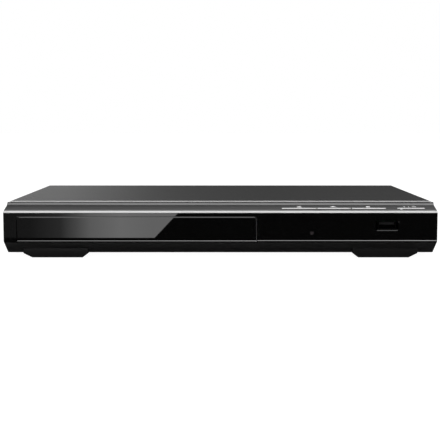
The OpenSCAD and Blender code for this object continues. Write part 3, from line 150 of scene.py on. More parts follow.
def grey(value):
    return (value, value, value)


def bump(tree, shader, height, strength, distance):
    made = add(tree, "ShaderNodeBump", Strength=strength, Distance=distance)
    tree.links.new(height, made.inputs["Height"])
    tree.links.new(made.outputs["Normal"], shader.inputs["Normal"])


def slope(tree, value, start, end):
    """0 before start, 1 past end, and a straight slope between. End may be the lower one."""
    made = add(tree, "ShaderNodeMapRange", From_Min=start, From_Max=end)
    tree.links.new(value, made.inputs["Value"])
    return made.outputs["Result"]


def along(tree, axis, start, end):
    return slope(tree, axes_of(tree)[axis], start, end)


def combine(tree, operation, a, b):
    made = add(tree, "ShaderNodeMath", operation=operation)
    for socket, value in zip(made.inputs, (a, b)):
        if isinstance(value, (int, float)):
            socket.default_value = value
        else:
            tree.links.new(value, socket)
    return made.outputs[0]


def product(tree, first, *others):
    for value in others:
        first = combine(tree, "MULTIPLY", first, value)
    return first


def total(tree, first, *others):
    for value in others:
        first = combine(tree, "ADD", first, value)
    return first


def roughen(tree, shader, factor, low, high):
    made = add(tree, "ShaderNodeMapRange", To_Min=low, To_Max=high)
    tree.links.new(factor, made.inputs["Value"])
    tree.links.new(made.outputs["Result"], shader.inputs["Roughness"])


def tint(tree, shader, factor, dark, light):
    tree.links.new(ramp(tree, factor, [(0.3, dark), (0.7, light)]), shader.inputs["Base Color"])


def dress(finish, *nodes):
    for name in nodes:
        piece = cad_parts[name]
        piece.data.materials.clear()
        piece.data.materials.append(finish)


# %% Mesh helpers
def prism(mesh, outline, x0, x1):
    """Pull an outline of Y and Z along X."""
    near = [mesh.verts.new((x0, y, z)) for y, z in outline]
    far = [mesh.verts.new((x1, y, z)) for y, z in outline]
    mesh.faces.new(near)
    mesh.faces.new(far[::-1])
    for i in range(len(outline)):
        j = (i + 1) % len(outline)
        mesh.faces.new((near[i], far[i], far[j], near[j]))


def put_in_scene(name, mesh, finish):
    data = bpy.data.meshes.new(name)
    mesh.to_mesh(data)
    mesh.free()
    piece = bpy.data.objects.new(name, data)
    bpy.context.scene.collection.objects.link(piece)
    data.materials.append(finish)
    return piece


def finish_piece(name, mesh, finish, body):
    bmesh.ops.recalc_face_normals(mesh, faces=mesh.faces)
    piece = put_in_scene(name, mesh, finish)
    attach(piece, body)
    return piece


# %% [markdown]
# ## Gloss black
#
# The front is moulded in glossy black. Its colour is almost nothing: what shows is the reflection.
# So the colour stays near black, the roughness very low, and a faint slow bump, as a moulding has,
# keeps long reflections from looking drawn with a ruler. Fine dust scratches only touch the
# roughness.
#
# The same moulding is duller under the face, where nobody looks. On the shelf over it, a painted
# highlight makes the colour lighter towards the strip, where the real shelf rounds off. Along the
# top of the tray's opening and down the door's right side a painted highlight, a thin lighter line
# in the colour, stands in for the light that fine edges catch, and the recess of the USB socket
# mirrors less than the face round it. All of these are chosen by place.

# %% Where the gloss changes
BLACK, UNDER_LEVEL = 0.0014, 0.013
FACE_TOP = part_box("edge_trim")[0].z
LIP_TOP = 14.2 * MM
LIP_D, LIP_H = 0.9 * MM, 1.4 * MM
LIP_Z = LIP_TOP - LIP_H
DOOR_LOW, DOOR_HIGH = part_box("tray_door")
DOOR_R = 2.5 * MM
OPENING_GAP = 0.4 * MM
# Widths and colour of the painted highlight along the tray opening's edges
EDGE_ABOVE, EDGE_BESIDE, OPENING_HIGHLIGHT_LEVEL = 0.5 * MM, 0.9 * MM, 0.028
USB_LOW, USB_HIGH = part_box("usb_shell")
RECESS_ROUND_USB = 3 * MM
RECESS_DULL, RECESS_SIDES_DULL = 0.3, 0.17
SOFT = 0.1 * MM


def painted_opening_highlight(tree):
    """1 along the top of the tray's opening, and down the door's right edge: the mask of a painted
    highlight.
    """
    place = axes_of(tree)
    past_centre = combine(tree, "SUBTRACT", place["X"], DOOR_HIGH.x - DOOR_R)
    over_centre = combine(tree, "SUBTRACT", place["Z"], DOOR_HIGH.z - DOOR_R)
    across = combine(tree, "MAXIMUM", past_centre, 0.0)
    up = combine(tree, "MAXIMUM", over_centre, 0.0)
    across, up = product(tree, across, across), product(tree, up, up)
    squares = total(tree, across, up)
    away = combine(tree, "SUBTRACT", combine(tree, "POWER", squares, 0.5), DOOR_R + OPENING_GAP)
    outside = combine(tree, "GREATER_THAN", away, 0.0)
    above = product(tree, outside, combine(tree, "LESS_THAN", away, EDGE_ABOVE),
                    combine(tree, "DIVIDE", up, squares))
    beside = product(tree, combine(tree, "SUBTRACT", 1.0, outside),
                     combine(tree, "GREATER_THAN", away, -EDGE_BESIDE),
                     combine(tree, "DIVIDE", across, squares))
    on_face = along(tree, "Y", FACE_Y + 0.5 * MM, FACE_Y + 0.3 * MM)
    past_left = along(tree, "X", DOOR_LOW.x, DOOR_LOW.x + SOFT)
    return product(tree, total(tree, above, beside), on_face, past_left)


def usb_recess(tree, sideways):
    """How much less the recess round the USB socket mirrors, most on its side walls."""
    left, right = USB_LOW.x - RECESS_ROUND_USB, USB_HIGH.x + RECESS_ROUND_USB
    inside = product(tree, along(tree, "Y", FACE_Y, FACE_Y + 0.05 * MM),
                     along(tree, "X", left - SOFT, left), along(tree, "X", right + SOFT, right),
                     along(tree, "Z", LIP_TOP, LIP_TOP + SOFT))
    walls = product(tree, combine(tree, "ABSOLUTE", sideways, 0.0), RECESS_SIDES_DULL)
    return product(tree, inside, total(tree, walls, RECESS_DULL))


# %% Gloss black of the front
def gloss_black(name, shelf=0.0):
    finish, tree, shader = new_finish(name, grey(BLACK), 0.015)
    turned = axes_of(tree, "Normal")
    on_shelf = along(tree, "Z", FACE_TOP - SOFT, FACE_TOP + SOFT)
    near_strip = along(tree, "Y", FACE_Y + 8 * MM, FACE_Y + 2 * MM)
    under = along(tree, "Z", LIP_Z, LIP_Z - 0.6 * MM)
    # Mask of the painted highlight along the opening's edges
    edge = painted_opening_highlight(tree)
    # The colour holds two painted highlights: lighter on the shelf near the strip, and a thin line
    # along the tray opening's edges
    level = total(tree, product(tree, on_shelf, near_strip, near_strip, shelf),
                  product(tree, under, UNDER_LEVEL), BLACK, product(tree, edge, OPENING_HIGHLIGHT_LEVEL))
    tree.links.new(level, shader.inputs["Base Color"])
    upright = product(tree, under, total(tree, turned["Z"], 1.0), 0.5)
    faint = product(tree, total(tree, upright, usb_recess(tree, turned["X"])),
                    along(tree, "Z", FACE_TOP, FACE_TOP - SOFT))
    tree.links.new(combine(tree, "SUBTRACT", 0.5, faint), shader.inputs["Specular IOR Level"])
    dust = product(tree, noise(tree, 900, 4, 0.6), 0.02)
    dull = product(tree, total(tree, under, on_shelf, edge), 0.3)
    tree.links.new(total(tree, dust, dull, 0.006), shader.inputs["Roughness"])
    bump(tree, shader, noise(tree, 14, 1, 0.4), 0.01, 0.001)
    return finish


front_gloss = gloss_black("front gloss", 0.1)
door_gloss = gloss_black("door gloss")
dress(front_gloss, "front_bezel")

# %% [markdown]
# ## The tray door
#
# The door is as black as the front round it, so only its edges tell where it is: a fine bevel turns
# upwards and catches the light as a thin grey line. The CAD door has sharp edges, so it is modelled
# again, with its top 0.35 mm higher, where the photograph shows it. Its side profile is pulled
# along X, the upper corners are cut round plane by plane, and the bevel then runs round the front
# in one go. The door is drawn out in depth before the bevel and pressed back after it, which
# leaves the bevel wider than it is deep. The two hooks behind the door are kept.

# %% Door with bevelled edges
DOOR_T = 2.5 * MM
DOOR_BEVEL = 0.4 * MM
BEVEL_PRESS = 0.3
DOOR_TOP = DOOR_HIGH.z + 0.35 * MM
LIP_R = (LIP_D ** 2 + LIP_H ** 2) / (2 * LIP_D)
LIP_TURN = 2 * math.atan(LIP_D / LIP_H)
LIP_STEPS = 6
HOOK_X, HOOK_HALF_W = 40 * MM, 4 * MM
HOOK_FRONT, HOOK_BACK = FACE_Y + DOOR_T - 0.5 * MM, FACE_Y + DOOR_T + 2.4 * MM
TRAY_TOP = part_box("disc_tray")[1].z
HOOK_LOW, HOOK_HIGH = TRAY_TOP - 11.4 * MM, TRAY_TOP - 4.4 * MM


def cut_corner(mesh, side):
    end = DOOR_HIGH.x if side > 0 else DOOR_LOW.x
    centre = Vector((end - side * DOOR_R, 0, DOOR_TOP - DOOR_R))
    for degrees in (11.25, 33.75, 56.25, 78.75):
        out = Vector((side * math.cos(math.radians(degrees)), 0, math.sin(math.radians(degrees))))
        whole = mesh.verts[:] + mesh.edges[:] + mesh.faces[:]
        made = bmesh.ops.bisect_plane(mesh, geom=whole, plane_co=centre + out * DOOR_R,
                                      plane_no=out, clear_outer=True)
        rim = [g for g in made["geom_cut"] if isinstance(g, bmesh.types.BMEdge)]
        bmesh.ops.contextual_create(mesh, geom=rim)


def stretch_depth(mesh, factor):
    for v in mesh.verts:
        v.co.y = FACE_Y + (v.co.y - FACE_Y) * factor


door = bmesh.new()
turns = [LIP_TURN * (1 - i / LIP_STEPS) for i in range(LIP_STEPS + 1)]
lip = [(FACE_Y + LIP_R * (1 - math.cos(a)), LIP_TOP - LIP_R * math.sin(a)) for a in turns]
plate = [(FACE_Y + DOOR_T, DOOR_LOW.z), *lip, (FACE_Y, DOOR_TOP), (FACE_Y + DOOR_T, DOOR_TOP)]
prism(door, plate, DOOR_LOW.x, DOOR_HIGH.x)
for side in (-1, 1):
    cut_corner(door, side)
bmesh.ops.recalc_face_normals(door, faces=door.faces)
front = [f for f in door.faces if f.normal.y < -0.99]
border = [e for f in front for e in f.edges
          if any(abs(g.normal.y) < 0.01 for g in e.link_faces)]
stretch_depth(door, 1 / BEVEL_PRESS)
bmesh.ops.bevel(door, geom=list(set(border)), offset=DOOR_BEVEL, segments=1, profile=0.5,
                affect="EDGES", material=-1)
stretch_depth(door, BEVEL_PRESS)
for x in (-HOOK_X, HOOK_X):
    hook_x = (DOOR_LOW.x + DOOR_HIGH.x) / 2 + x
    prism(door, [(HOOK_FRONT, HOOK_LOW), (HOOK_BACK, HOOK_LOW),
                 (HOOK_BACK, HOOK_HIGH), (HOOK_FRONT, HOOK_HIGH)],
          hook_x - HOOK_HALF_W, hook_x + HOOK_HALF_W)
door_piece = finish_piece("door_plate", door, door_gloss, "tray")
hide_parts("tray_door")
print("door faces", len(door_piece.data.polygons))

# %% [markdown]
# ## Painted cover
#
# The cover is sheet steel with a fine black texture paint. Two things make it: a small-grained bump
# and a wide, soft gloss. The cut edge at the front shows as one bright line, which is a painted
# highlight: the colour there turns light grey. The cover's edge is found by its place: it is the
# only part of the cover there.

# %% Texture paint with a painted highlight on the front edge
COVER_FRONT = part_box("top_cover")[0].y
PAINT = 0.009
COVER_EDGE_HIGHLIGHT = 0.75


def cover_paint():
    finish, tree, shader = new_finish("cover paint", grey(PAINT), 0.3, specular=0.25)
    bump(tree, shader, noise(tree, 2600, 3, 0.6), 0.35, 0.0002)
    roughen(tree, shader, noise(tree, 1500, 2), 0.24, 0.32)
    # Painted highlight: the front cut edge is coloured light grey
    edge = along(tree, "Y", COVER_FRONT + 0.2 * MM, COVER_FRONT + 0.1 * MM)
    lighter = ramp(tree, edge, [(0.4, grey(PAINT)), (0.6, grey(COVER_EDGE_HIGHLIGHT))])
    tree.links.new(lighter, shader.inputs["Base Color"])
    return finish


dress(cover_paint(), "top_cover")

# %% [markdown]
# ## The other finishes
#
# Inside and behind, the player is made of a few common materials: zinc-coated sheet, moulded
# plastics, nickel-plated sockets, laminate boards. Each gets a short function with the pattern that
# the real one shows close up: the spangle of zinc, the mottle of moulded plastic, the brushed
# grain of a turned part.

# %% Sheet metal, plated parts and plastics
def zinc(name, level=0.55):
    finish, tree, shader = new_finish(name, grey(level), 0.4, metallic=1.0)
    cells = add(tree, "ShaderNodeTexVoronoi", Scale=260.0)
    tree.links.new(place_of(tree), cells.inputs["Vector"])
    tint(tree, shader, cells.outputs["Color"], grey(level * 0.85), grey(level * 1.1))
    roughen(tree, shader, cells.outputs["Color"], 0.32, 0.5)
    return finish


def plated(name, color, roughness=0.22, stretch=(1, 30, 1)):
    finish, tree, shader = new_finish(name, color, roughness, metallic=1.0)
    grain = noise(tree, 900, 2, 0.5, stretch)
    roughen(tree, shader, grain, roughness, roughness + 0.12)
    bump(tree, shader, grain, 0.08, 0.0001)
    return finish


def moulded(name, color, roughness=0.5, grain=1800, strength=0.2):
    finish, tree, shader = new_finish(name, color, roughness)
    pattern = noise(tree, grain, 3, 0.55)
    bump(tree, shader, pattern, strength, 0.0001)
    roughen(tree, shader, noise(tree, grain / 6, 2), roughness - 0.06, roughness + 0.08)
    dark, light = tuple(c * 0.9 for c in color), tuple(min(1, c * 1.1) for c in color)
    tint(tree, shader, noise(tree, 90, 2), dark, light)
    return finish


dress(zinc("zinc of the pan"), "chassis")
dress(zinc("zinc of the bridge", 0.6), "clamp_bridge", "clamp_magnet")
dress(plated("screw zinc", grey(0.18), 0.3, (1, 1, 1)), "cover_screws")
dress(plated("bright screws", grey(0.6), 0.3, (1, 1, 1)), "frame_screws")
dress(plated("nickel", (0.78, 0.76, 0.72), 0.16), "rca_sleeves", "hdmi_socket")
# The USB shell is nickel coloured almost black, painted shade for its place deep in the recess
dress(plated("nickel darkened as painted shade", grey(0.01), 0.6), "usb_shell")
dress(plated("steel rods", grey(0.7), 0.1), "guide_rods", "lead_screw")
dress(plated("motor cans", grey(0.62), 0.3, (1, 1, 20)),
      "tray_motor", "sled_motor", "spindle_rotor")
dress(plated("contact pins", (0.8, 0.75, 0.66), 0.2), "inlet_pins")
dress(plated("copper windings", (0.72, 0.36, 0.18), 0.35, (1, 1, 60)), "spindle_motor")
dress(plated("cast carriage", grey(0.36), 0.45, (1, 1, 1)), "pickup_sled")
dress(moulded("rubber", grey(0.02), 0.75, 700, 0.4), "rear_feet", "drive_belt")
dress(moulded("socket black", grey(0.015), 0.45), "rca_block", "hdmi_tongue", "mains_inlet")
tongue_black = moulded("tongue black", grey(0.012), 0.7)
tongue_black.node_tree.nodes["Principled BSDF"].inputs["Specular IOR Level"].default_value = 0.05
dress(tongue_black, "usb_tongue")
dress(moulded("receiver black", (0.03, 0.012, 0.02), 0.2), "ir_receiver")
dress(moulded("loader grey", grey(0.035), 0.5), "loader_frame", "traverse_frame")
dress(moulded("tray grey", grey(0.022), 0.42, 1500, 0.15), "disc_tray")
dress(moulded("white acetal", (0.78, 0.77, 0.72), 0.4), "pulley_gear", "tray_gear", "motor_pulley",
      "cam_slider")
dress(moulded("clamp white", (0.7, 0.7, 0.68), 0.4), "clamp_puck")
dress(moulded("connector ivory", (0.75, 0.7, 0.6), 0.45), "board_connectors", "front_ribbon")
dress(moulded("switch grey", grey(0.16), 0.45), "tact_switches", "eject_plunger", "play_plunger",
      "stop_plunger", "power_plunger")
dress(moulded("chip black", grey(0.025), 0.5, 2500), "main_chips")
dress(moulded("turntable black", grey(0.02), 0.6), "turntable")
dress(moulded("lens holder black", grey(0.02), 0.4), "lens_holder")
dress(moulded("capacitor blue", (0.02, 0.03, 0.12), 0.25, 400, 0.05), "capacitors")
dress(moulded("transformer tape", (0.55, 0.42, 0.05), 0.35, 300, 0.1), "transformer")
dress(moulded("wire red", (0.42, 0.03, 0.02), 0.35, 600, 0.05), "power_harness")
dress(moulded("bare laminate", (0.42, 0.28, 0.12), 0.6, 1200, 0.1), "power_board")

# %% [markdown]
# ## Circuit boards
#
# Solder mask lets the copper tracks under it show as slightly lighter, slightly raised lines. A
# brick pattern with wide bricks and thin joints, taken at a fine scale, reads as rows of tracks.

# %% Solder mask over tracks
def board(name, mask, track):
    finish, tree, shader = new_finish(name, mask, 0.32, coat=0.3)
    rows = add(tree, "ShaderNodeTexBrick", Scale=120.0)
    rows.inputs["Mortar Size"].default_value = 0.06
    rows.inputs["Color1"].default_value = (*mask, 1)
    rows.inputs["Color2"].default_value = (*mask, 1)
    rows.inputs["Mortar"].default_value = (*track, 1)
    tree.links.new(place_of(tree), rows.inputs["Vector"])
    tree.links.new(rows.outputs["Color"], shader.inputs["Base Color"])
    bump(tree, shader, rows.outputs["Fac"], 0.2, 0.0001)
    return finish


dress(board("green boards", (0.01, 0.09, 0.03), (0.03, 0.19, 0.07)), "main_board", "key_board")

# %% [markdown]
# ## Coloured jacks
#
# The insulators of the rear jacks are one node, but each jack has its standard colour. The colour
# can be chosen by place: a jack's column gives one choice and its row the other.

# %% Colours of the rear jacks
JACK_LOW, JACK_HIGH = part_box("rca_inserts")
UPPER_ROW = [(0.03, 0.42, 0.07), (0.03, 0.09, 0.5), (0.55, 0.02, 0.02), (0.9, 0.28, 0.02)]
LOWER_ROW = [(0.85, 0.62, 0.02), (0.8, 0.8, 0.78), (0.55, 0.02, 0.02), (0.9, 0.28, 0.02)]


def jack_colours():
    finish, tree, shader = new_finish("jack colours", grey(0.5), 0.35)
    across = along(tree, "X", JACK_LOW.x, JACK_HIGH.x)
    above = combine(tree, "GREATER_THAN", axes_of(tree)["Z"], (JACK_LOW.z + JACK_HIGH.z) / 2)
    rows = []
    for colours in (LOWER_ROW, UPPER_ROW):
        steps = [(0.0, colours[0]), (0.22, colours[1]), (0.47, colours[2]), (0.75, colours[3])]
        made = ramp(tree, across, steps)
        made.node.color_ramp.interpolation = "CONSTANT"
        rows.append(made)
    choice = add(tree, "ShaderNodeMix", data_type="RGBA")
    tree.links.new(above, choice.inputs[0])
    tree.links.new(rows[0], choice.inputs[6])
    tree.links.new(rows[1], choice.inputs[7])
    tree.links.new(choice.outputs[2], shader.inputs["Base Color"])
    return finish


dress(jack_colours(), "rca_inserts")

# %% [markdown]
# ## Clear parts
#
# The pickup's lens is coated glass, the window of the remote receiver is dark clear plastic, and
# the lamp's tip is frosted white. The fuse is one node, so its clips are dressed like its glass.

# %% Lens, window, lamp and fuse
def clear(name, color, roughness, weight):
    finish, tree, shader = new_finish(name, color, roughness)
    shader.inputs["Transmission Weight"].default_value = weight
    roughen(tree, shader, noise(tree, 500, 2), roughness, roughness + 0.03)
    return finish


dress(clear("coated lens", (0.55, 0.68, 0.95), 0.02, 0.8), "objective_lens")
dress(clear("dark window", (0.035, 0.03, 0.032), 0.08, 0.2), "ir_window")
dress(clear("frosted lamp", (0.75, 0.77, 0.8), 0.35, 0.1), "led_lens")
dress(clear("fuse glass", (0.72, 0.76, 0.78), 0.08, 0.3), "fuse")

# %% [markdown]
# ## Trim and keys
#
# Along the top of the face runs a polished strip, the brightest line of the whole front, with a
# painted shadow along its foot. The keys lie flush in the shelf. A thin line along the back of each
# is a painted highlight: the keys' colour turns light there, found by its depth in the key.

# %% Polished strip
def polished_strip():
    finish, tree, shader = new_finish("polished strip", grey(0.62), 0.3, specular=0.6)
    roughen(tree, shader, noise(tree, 700, 2, 0.5, (0.05, 1, 1)), 0.22, 0.36)
    # Painted shadow: the strip's lowest fifth of a millimetre is coloured dark, a shadow line over
    # the face
    strip_shadow_band = along(tree, "Z", FACE_TOP + 0.08 * MM, FACE_TOP + 0.24 * MM)
    tone = ramp(tree, strip_shadow_band, [(0.0, grey(0.05)), (1.0, grey(0.65))])
    tree.links.new(tone, shader.inputs["Base Color"])
    return finish


dress(polished_strip(), "edge_trim")

# %% Keys with a painted highlight along the rear edge
KEYS = ["eject_key", "play_key", "stop_key", "power_key"]
KEY_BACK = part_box("power_key")[1].y - 1.2 * MM
KEY_EDGE, KEY_LAST = 2.1 * MM, 0.6 * MM
KEY_BLACK, KEY_HIGHLIGHT = 0.012, 0.81


def key_finish():
    finish, tree, shader = new_finish("key gloss", grey(KEY_BLACK), 0.12)
    # Painted highlight: a band near the back of each key is coloured light
    rear_highlight = product(tree, along(tree, "Y", KEY_BACK - KEY_EDGE - SOFT, KEY_BACK - KEY_EDGE + SOFT),
                   along(tree, "Y", KEY_BACK - KEY_LAST + SOFT, KEY_BACK - KEY_LAST - SOFT))
    lighter = ramp(tree, rear_highlight, [(0.4, grey(KEY_BLACK)), (0.6, grey(KEY_HIGHLIGHT))])
    tree.links.new(lighter, shader.inputs["Base Color"])
    roughen(tree, shader, noise(tree, 1200, 3), 0.1, 0.16)
    return finish


dress(key_finish(), *KEYS)

# %% [markdown]
# ## Signs on the shelf
#
# Behind each key a plain white sign is printed: a triangle over a bar for the tray, a triangle for
# play, a square for stop, two strokes and a ring with a bar for power. Each is a thin sheet a few
# hundredths of a millimetre thick, drawn flat with bmesh and then laid on the slope of the shelf.

# %% Where the shelf lies
SHELF_FRONT_D, SHELF_FRONT_Z = 2.0 * MM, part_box("edge_trim")[1].z
SHELF_BACK_D, SHELF_BACK_Z = 15.7 * MM, 39.2 * MM
SHELF_SLOPE = math.atan2(SHELF_BACK_Z - SHELF_FRONT_Z, SHELF_BACK_D - SHELF_FRONT_D)
SIGN_DEPTH = 10.9 * MM
SIGN_LIFT = 0.06 * MM
SIGN_T = 0.03 * MM
sign_print, sign_tree, sign_shader = new_finish("sign print", grey(0.75), 0.5)
roughen(sign_tree, sign_shader, noise(sign_tree, 900, 2), 0.45, 0.6)


def shelf_place(x, depth):
    height = SHELF_FRONT_Z + (depth - SHELF_FRONT_D) * math.tan(SHELF_SLOPE)
    place = Matrix.Translation((x, FACE_Y + depth, height + SIGN_LIFT))
    return place @ Matrix.Rotation(SHELF_SLOPE, 4, "X")


def thicken(mesh, thickness):
    made = bmesh.ops.extrude_face_region(mesh, geom=mesh.faces[:])
    moved = [g for g in made["geom"] if isinstance(g, bmesh.types.BMVert)]
    bmesh.ops.translate(mesh, verts=moved, vec=(0, 0, thickness))


def flat_shape(mesh, sides, radius, turn, centre=(0, 0), stretch=(1, 1)):
    made = bmesh.ops.create_circle(mesh, cap_ends=True, segments=sides, radius=radius)
    verts = made["verts"]
    bmesh.ops.rotate(mesh, verts=verts, matrix=Matrix.Rotation(turn, 3, "Z"), cent=(0, 0, 0))
    bmesh.ops.scale(mesh, verts=verts, vec=(*stretch, 1))
    bmesh.ops.translate(mesh, verts=verts, vec=(*centre, 0))


# %% The four signs
def middle(node):
    low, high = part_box(node)
    return (low.x + high.x) / 2


def sign(name, key, draw):
    mesh = bmesh.new()
    draw(mesh)
    thicken(mesh, SIGN_T)
    mesh.transform(shelf_place(middle(key), SIGN_DEPTH))
    finish_piece(name, mesh, sign_print, "case")


def draw_eject(mesh):
    flat_shape(mesh, 3, 1.5 * MM, math.pi / 2, (0.3 * MM, 0.35 * MM), (1.5, 1.1))
    flat_shape(mesh, 4, 1.0 * MM, math.pi / 4, (0.3 * MM, -1.2 * MM), (2.7, 0.6))


def draw_play(mesh):
    flat_shape(mesh, 3, 1.6 * MM, 0, (-0.3 * MM, 0), (1.8, 1.2))


def draw_stop(mesh):
    flat_shape(mesh, 4, 1.5 * MM, math.pi / 4, (0, 0), (1.4, 1.15))


def draw_power(mesh):
    flat_shape(mesh, 24, 1.6 * MM, 0, (2.9 * MM, 0))
    flat_shape(mesh, 24, 1.2 * MM, 0, (2.9 * MM, 0))
    bmesh.ops.delete(mesh, geom=mesh.faces[:], context="FACES_ONLY")
    bmesh.ops.bridge_loops(mesh, edges=mesh.edges[:])
    flat_shape(mesh, 4, 0.9 * MM, math.pi / 4, (2.9 * MM, 0.9 * MM), (0.35, 1.3))
    flat_shape(mesh, 4, 0.9 * MM, math.pi / 4, (-4.4 * MM, 0), (0.4, 2.2))
    flat_shape(mesh, 4, 0.9 * MM, math.pi / 4, (-1.1 * MM, 0), (0.3, 2.2))


sign("eject_sign", "eject_key", draw_eject)
sign("play_sign", "play_key", draw_play)
sign("stop_sign", "stop_key", draw_stop)
sign("power_sign", "power_key", draw_power)
print("shelf slope", round(math.degrees(SHELF_SLOPE), 1), "degrees")

# %% [markdown]
# ## Where the shelf turns up to the cover
#
# The shelf ends in a small hollow that holds one soft light line below the cover's bright edge. The
# CAD has a flat slope there, in which the ends of four tongues show. A rounded strip is pulled
# along X over it. Its back edge stands up close under the cover, so that no light from inside gets
# through.

# %% Rounded strip along the shelf's back
RIM_R = 4.95 * MM
RIM_TOP_D, RIM_TOP_Z = 16.1 * MM, 40.93 * MM
RIM_FROM, RIM_TO, RIM_STEPS = math.radians(25), math.radians(62), 10
RIM_BACK_D, RIM_WALL, RIM_UNDER = 18.4 * MM, 0.6 * MM, 0.3 * MM
RIM_BACK_TOP = 41.14 * MM


def rim_outline():
    middle_d = RIM_TOP_D - RIM_R * math.sin(RIM_TO)
    middle_z = RIM_TOP_Z + RIM_R * math.cos(RIM_TO)
    turns = [RIM_FROM + (RIM_TO - RIM_FROM) * i / RIM_STEPS for i in range(RIM_STEPS + 1)]
    hollow = [(middle_d + RIM_R * math.sin(a), middle_z - RIM_R * math.cos(a)) for a in turns]
    behind = [(RIM_BACK_D, RIM_TOP_Z), (RIM_BACK_D, RIM_BACK_TOP),
              (RIM_BACK_D + RIM_WALL, RIM_BACK_TOP), (RIM_BACK_D + RIM_WALL, RIM_TOP_Z - RIM_UNDER),
              (RIM_TOP_D + 0.5 * MM, RIM_TOP_Z - RIM_UNDER)]
    foot_z = hollow[0][1] - RIM_UNDER
    below = [(RIM_TOP_D - 0.6 * MM, foot_z), (hollow[0][0], foot_z)]
    return [(FACE_Y + d, z) for d, z in hollow + behind + below]


bezel_low, bezel_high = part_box("front_bezel")
rim_mesh = bmesh.new()
prism(rim_mesh, rim_outline(), bezel_low.x + 0.02 * MM, bezel_high.x - 0.02 * MM)
rim_gloss, rim_tree, rim_shader = new_finish("rim gloss", grey(0.045), 0.12)
roughen(rim_tree, rim_shader, noise(rim_tree, 900, 2), 0.08, 0.16)
finish_piece("shelf_rim", rim_mesh, rim_gloss, "case")
print("strip over the rim, points", len(rim_outline()))

# %% [markdown]
# ## Floor, light and what the gloss reflects
#
# The floor is pale and plain, and white to the camera, but keeps the soft shadow under the feet.
# The light is a large soft lamp above, with weaker ones from the front and the left. Gloss black
# shows mostly what stands round it, so five cards stand in for a studio. They are seen only in
# reflections. One lies on the floor in front and makes the light patch in the left half of the
# face. Two narrow ones lie right under the face and draw the bright line along its lip, one for the
# door and one for the panel to its right. Two stand far behind the player, one for the cover and
# one for the shelf.

# %% Floor and world
FLOOR_HALF = 6.0
SHADOW_SHARE = 0.25
FLOOR_GLOW = 1.3
WORLD_LIGHT = 0.25


def stage_sheet(name, corners, finish):
    mesh = bmesh.new()
    mesh.faces.new([mesh.verts.new(c) for c in corners])
    sheet = put_in_scene(name, mesh, finish)
    return sheet


def level_sheet(x0, x1, y0, y1, z):
    return [(x0, y0, z), (x1, y0, z), (x1, y1, z), (x0, y1, z)]


def upright_sheet(x0, x1, y, z0, z1):
    return [(x0, y, z0), (x1, y, z0), (x1, y, z1), (x0, y, z1)]


def mix_shaders(tree, factor, first, second):
    made = add(tree, "ShaderNodeMixShader")
    for source, socket in zip((factor, first, second), made.inputs):
        tree.links.new(source, socket)
    return made.outputs[0]


def floor_finish():
    finish, tree, shader = new_finish("pale floor", grey(0.8), 0.9, specular=0.0)
    white = add(tree, "ShaderNodeEmission", Strength=FLOOR_GLOW, Color=(1, 1, 1, 1))
    dark = add(tree, "ShaderNodeEmission", Color=(0.02, 0.02, 0.02, 1))
    path = add(tree, "ShaderNodeLightPath").outputs
    seen = product(tree, path["Is Camera Ray"], 1 - SHADOW_SHARE)
    to_camera = mix_shaders(tree, seen, shader.outputs[0], white.outputs[0])
    to_gloss = mix_shaders(tree, path["Is Glossy Ray"], to_camera, dark.outputs[0])
    tree.links.new(to_gloss, tree.nodes["Material Output"].inputs["Surface"])
    return finish


stage_sheet("floor", level_sheet(-FLOOR_HALF, FLOOR_HALF, -FLOOR_HALF, FLOOR_HALF, 0),
            floor_finish())

world = bpy.data.worlds.new("studio")
bpy.context.scene.world = world
world.use_nodes = True
sky = world.node_tree
background = sky.nodes["Background"]
level = add(sky, "ShaderNodeMapRange", To_Min=WORLD_LIGHT, To_Max=1.0)
sky.links.new(add(sky, "ShaderNodeLightPath").outputs["Is Camera Ray"], level.inputs["Value"])
sky.links.new(level.outputs["Result"], background.inputs["Strength"])
background.inputs["Color"].default_value = (1, 1, 1, 1)


# %% Lamps
def lamp(name, place, aim, size, power):
    data = bpy.data.lights.new(name, "AREA")
    data.shape = "RECTANGLE"
    data.size, data.size_y = size
    data.energy = power
    made = bpy.data.objects.new(name, data)
    made.location = place
    made.rotation_euler = (Vector(aim) - Vector(place)).to_track_quat("-Z", "Y").to_euler()
    bpy.context.scene.collection.objects.link(made)


CENTRE = (0, 0, 0.02)
lamp("top light", (0.1, -0.3, 1.6), CENTRE, (1.6, 1.2), 22)
lamp("front light", (-0.3, -1.6, 0.7), CENTRE, (1.2, 0.6), 7)
lamp("left light", (-1.3, 0.5, 0.5), CENTRE, (0.8, 0.6), 2)


# %% Cards that only reflections see
def card(name, corners, strength, place, stops):
    finish = bpy.data.materials.new(name)
    finish.use_nodes = True
    tree = finish.node_tree
    tree.nodes.remove(tree.nodes["Principled BSDF"])
    glow = add(tree, "ShaderNodeEmission", Strength=strength)
    tone = ramp(tree, place(tree), [(at, grey(v)) for at, v in stops])
    tree.links.new(tone, glow.inputs["Color"])
    tree.links.new(glow.outputs[0], tree.nodes["Material Output"].inputs["Surface"])
    sheet = stage_sheet(name, corners, finish)
    sheet.visible_camera = False
    sheet.visible_diffuse = False
    sheet.visible_transmission = False
    sheet.visible_shadow = False


def across(x0, x1):
    return lambda tree: along(tree, "X", x0, x1)


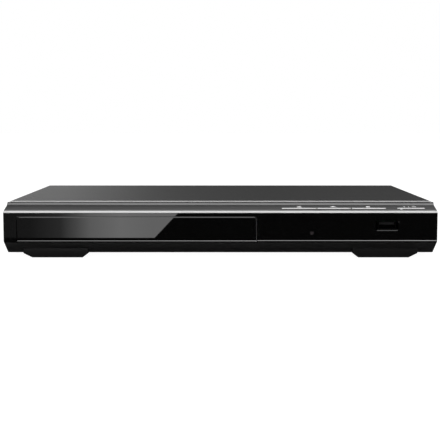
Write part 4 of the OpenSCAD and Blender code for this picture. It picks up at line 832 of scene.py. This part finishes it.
# The floor card's brightness changes across lines that fan out from one point behind the face,
# so that they stand upright in what the face mirrors
FAN_LEFT, FAN_RIGHT = -0.20, -0.05
CARD_Z, LIP_CARD_Z = 0.001, 0.0008
CARD_FAR, CARD_NEAR = -0.62, -0.237
CARD_LEFT, CARD_FAR_RIGHT, CARD_NEAR_RIGHT = -0.6, -0.0397, -0.0569
BACKDROP_HALF = 2.5


def fan(tree):
    place = axes_of(tree)
    depth = combine(tree, "SUBTRACT", FACE_Y + CAMERA_DISTANCE, place["Y"])
    return slope(tree, combine(tree, "DIVIDE", place["X"], depth), FAN_LEFT, FAN_RIGHT)


# %% The five cards
card("floor card", [(CARD_LEFT, CARD_FAR, CARD_Z), (CARD_FAR_RIGHT, CARD_FAR, CARD_Z),
                    (CARD_NEAR_RIGHT, CARD_NEAR, CARD_Z), (CARD_LEFT, CARD_NEAR, CARD_Z)], 3.3, fan,
     [(0.0, 0.05), (0.13, 0.06), (0.32, 0.15), (0.42, 0.42), (0.51, 0.74), (0.7, 1.0), (0.9, 0.88)])
card("card under the door's lip",
     level_sheet(-0.22, 0.035, FACE_Y - 0.022, FACE_Y - 0.0115, LIP_CARD_Z), 12.8,
     across(-0.16, 0.03), [(0.0, 0.65), (0.54, 0.83), (0.84, 0.96), (1.0, 1.0)])
card("card under the panel's lip",
     level_sheet(0.02, 0.22, FACE_Y - 0.034, FACE_Y - 0.030, LIP_CARD_Z), 9.1,
     across(0.03, 0.16), [(0.0, 0.76), (0.38, 0.79), (1.0, 1.0)])
card("card behind the cover", upright_sheet(-BACKDROP_HALF, BACKDROP_HALF, 1.6, -0.02, 0.5), 0.48,
     across(-0.5, 0.1), [(0.0, 1.0), (0.23, 0.96), (0.33, 0.75), (0.45, 0.56), (0.55, 0.37),
                         (0.66, 0.27), (0.78, 0.22), (1.0, 0.17)])
card("card over the shelf", upright_sheet(-BACKDROP_HALF, BACKDROP_HALF, 1.61, 0.95, 2.2), 0.6,
     across(-0.5, 0.5), [(0.0, 0.8), (1.0, 1.0)])
print("lamps and cards ready")
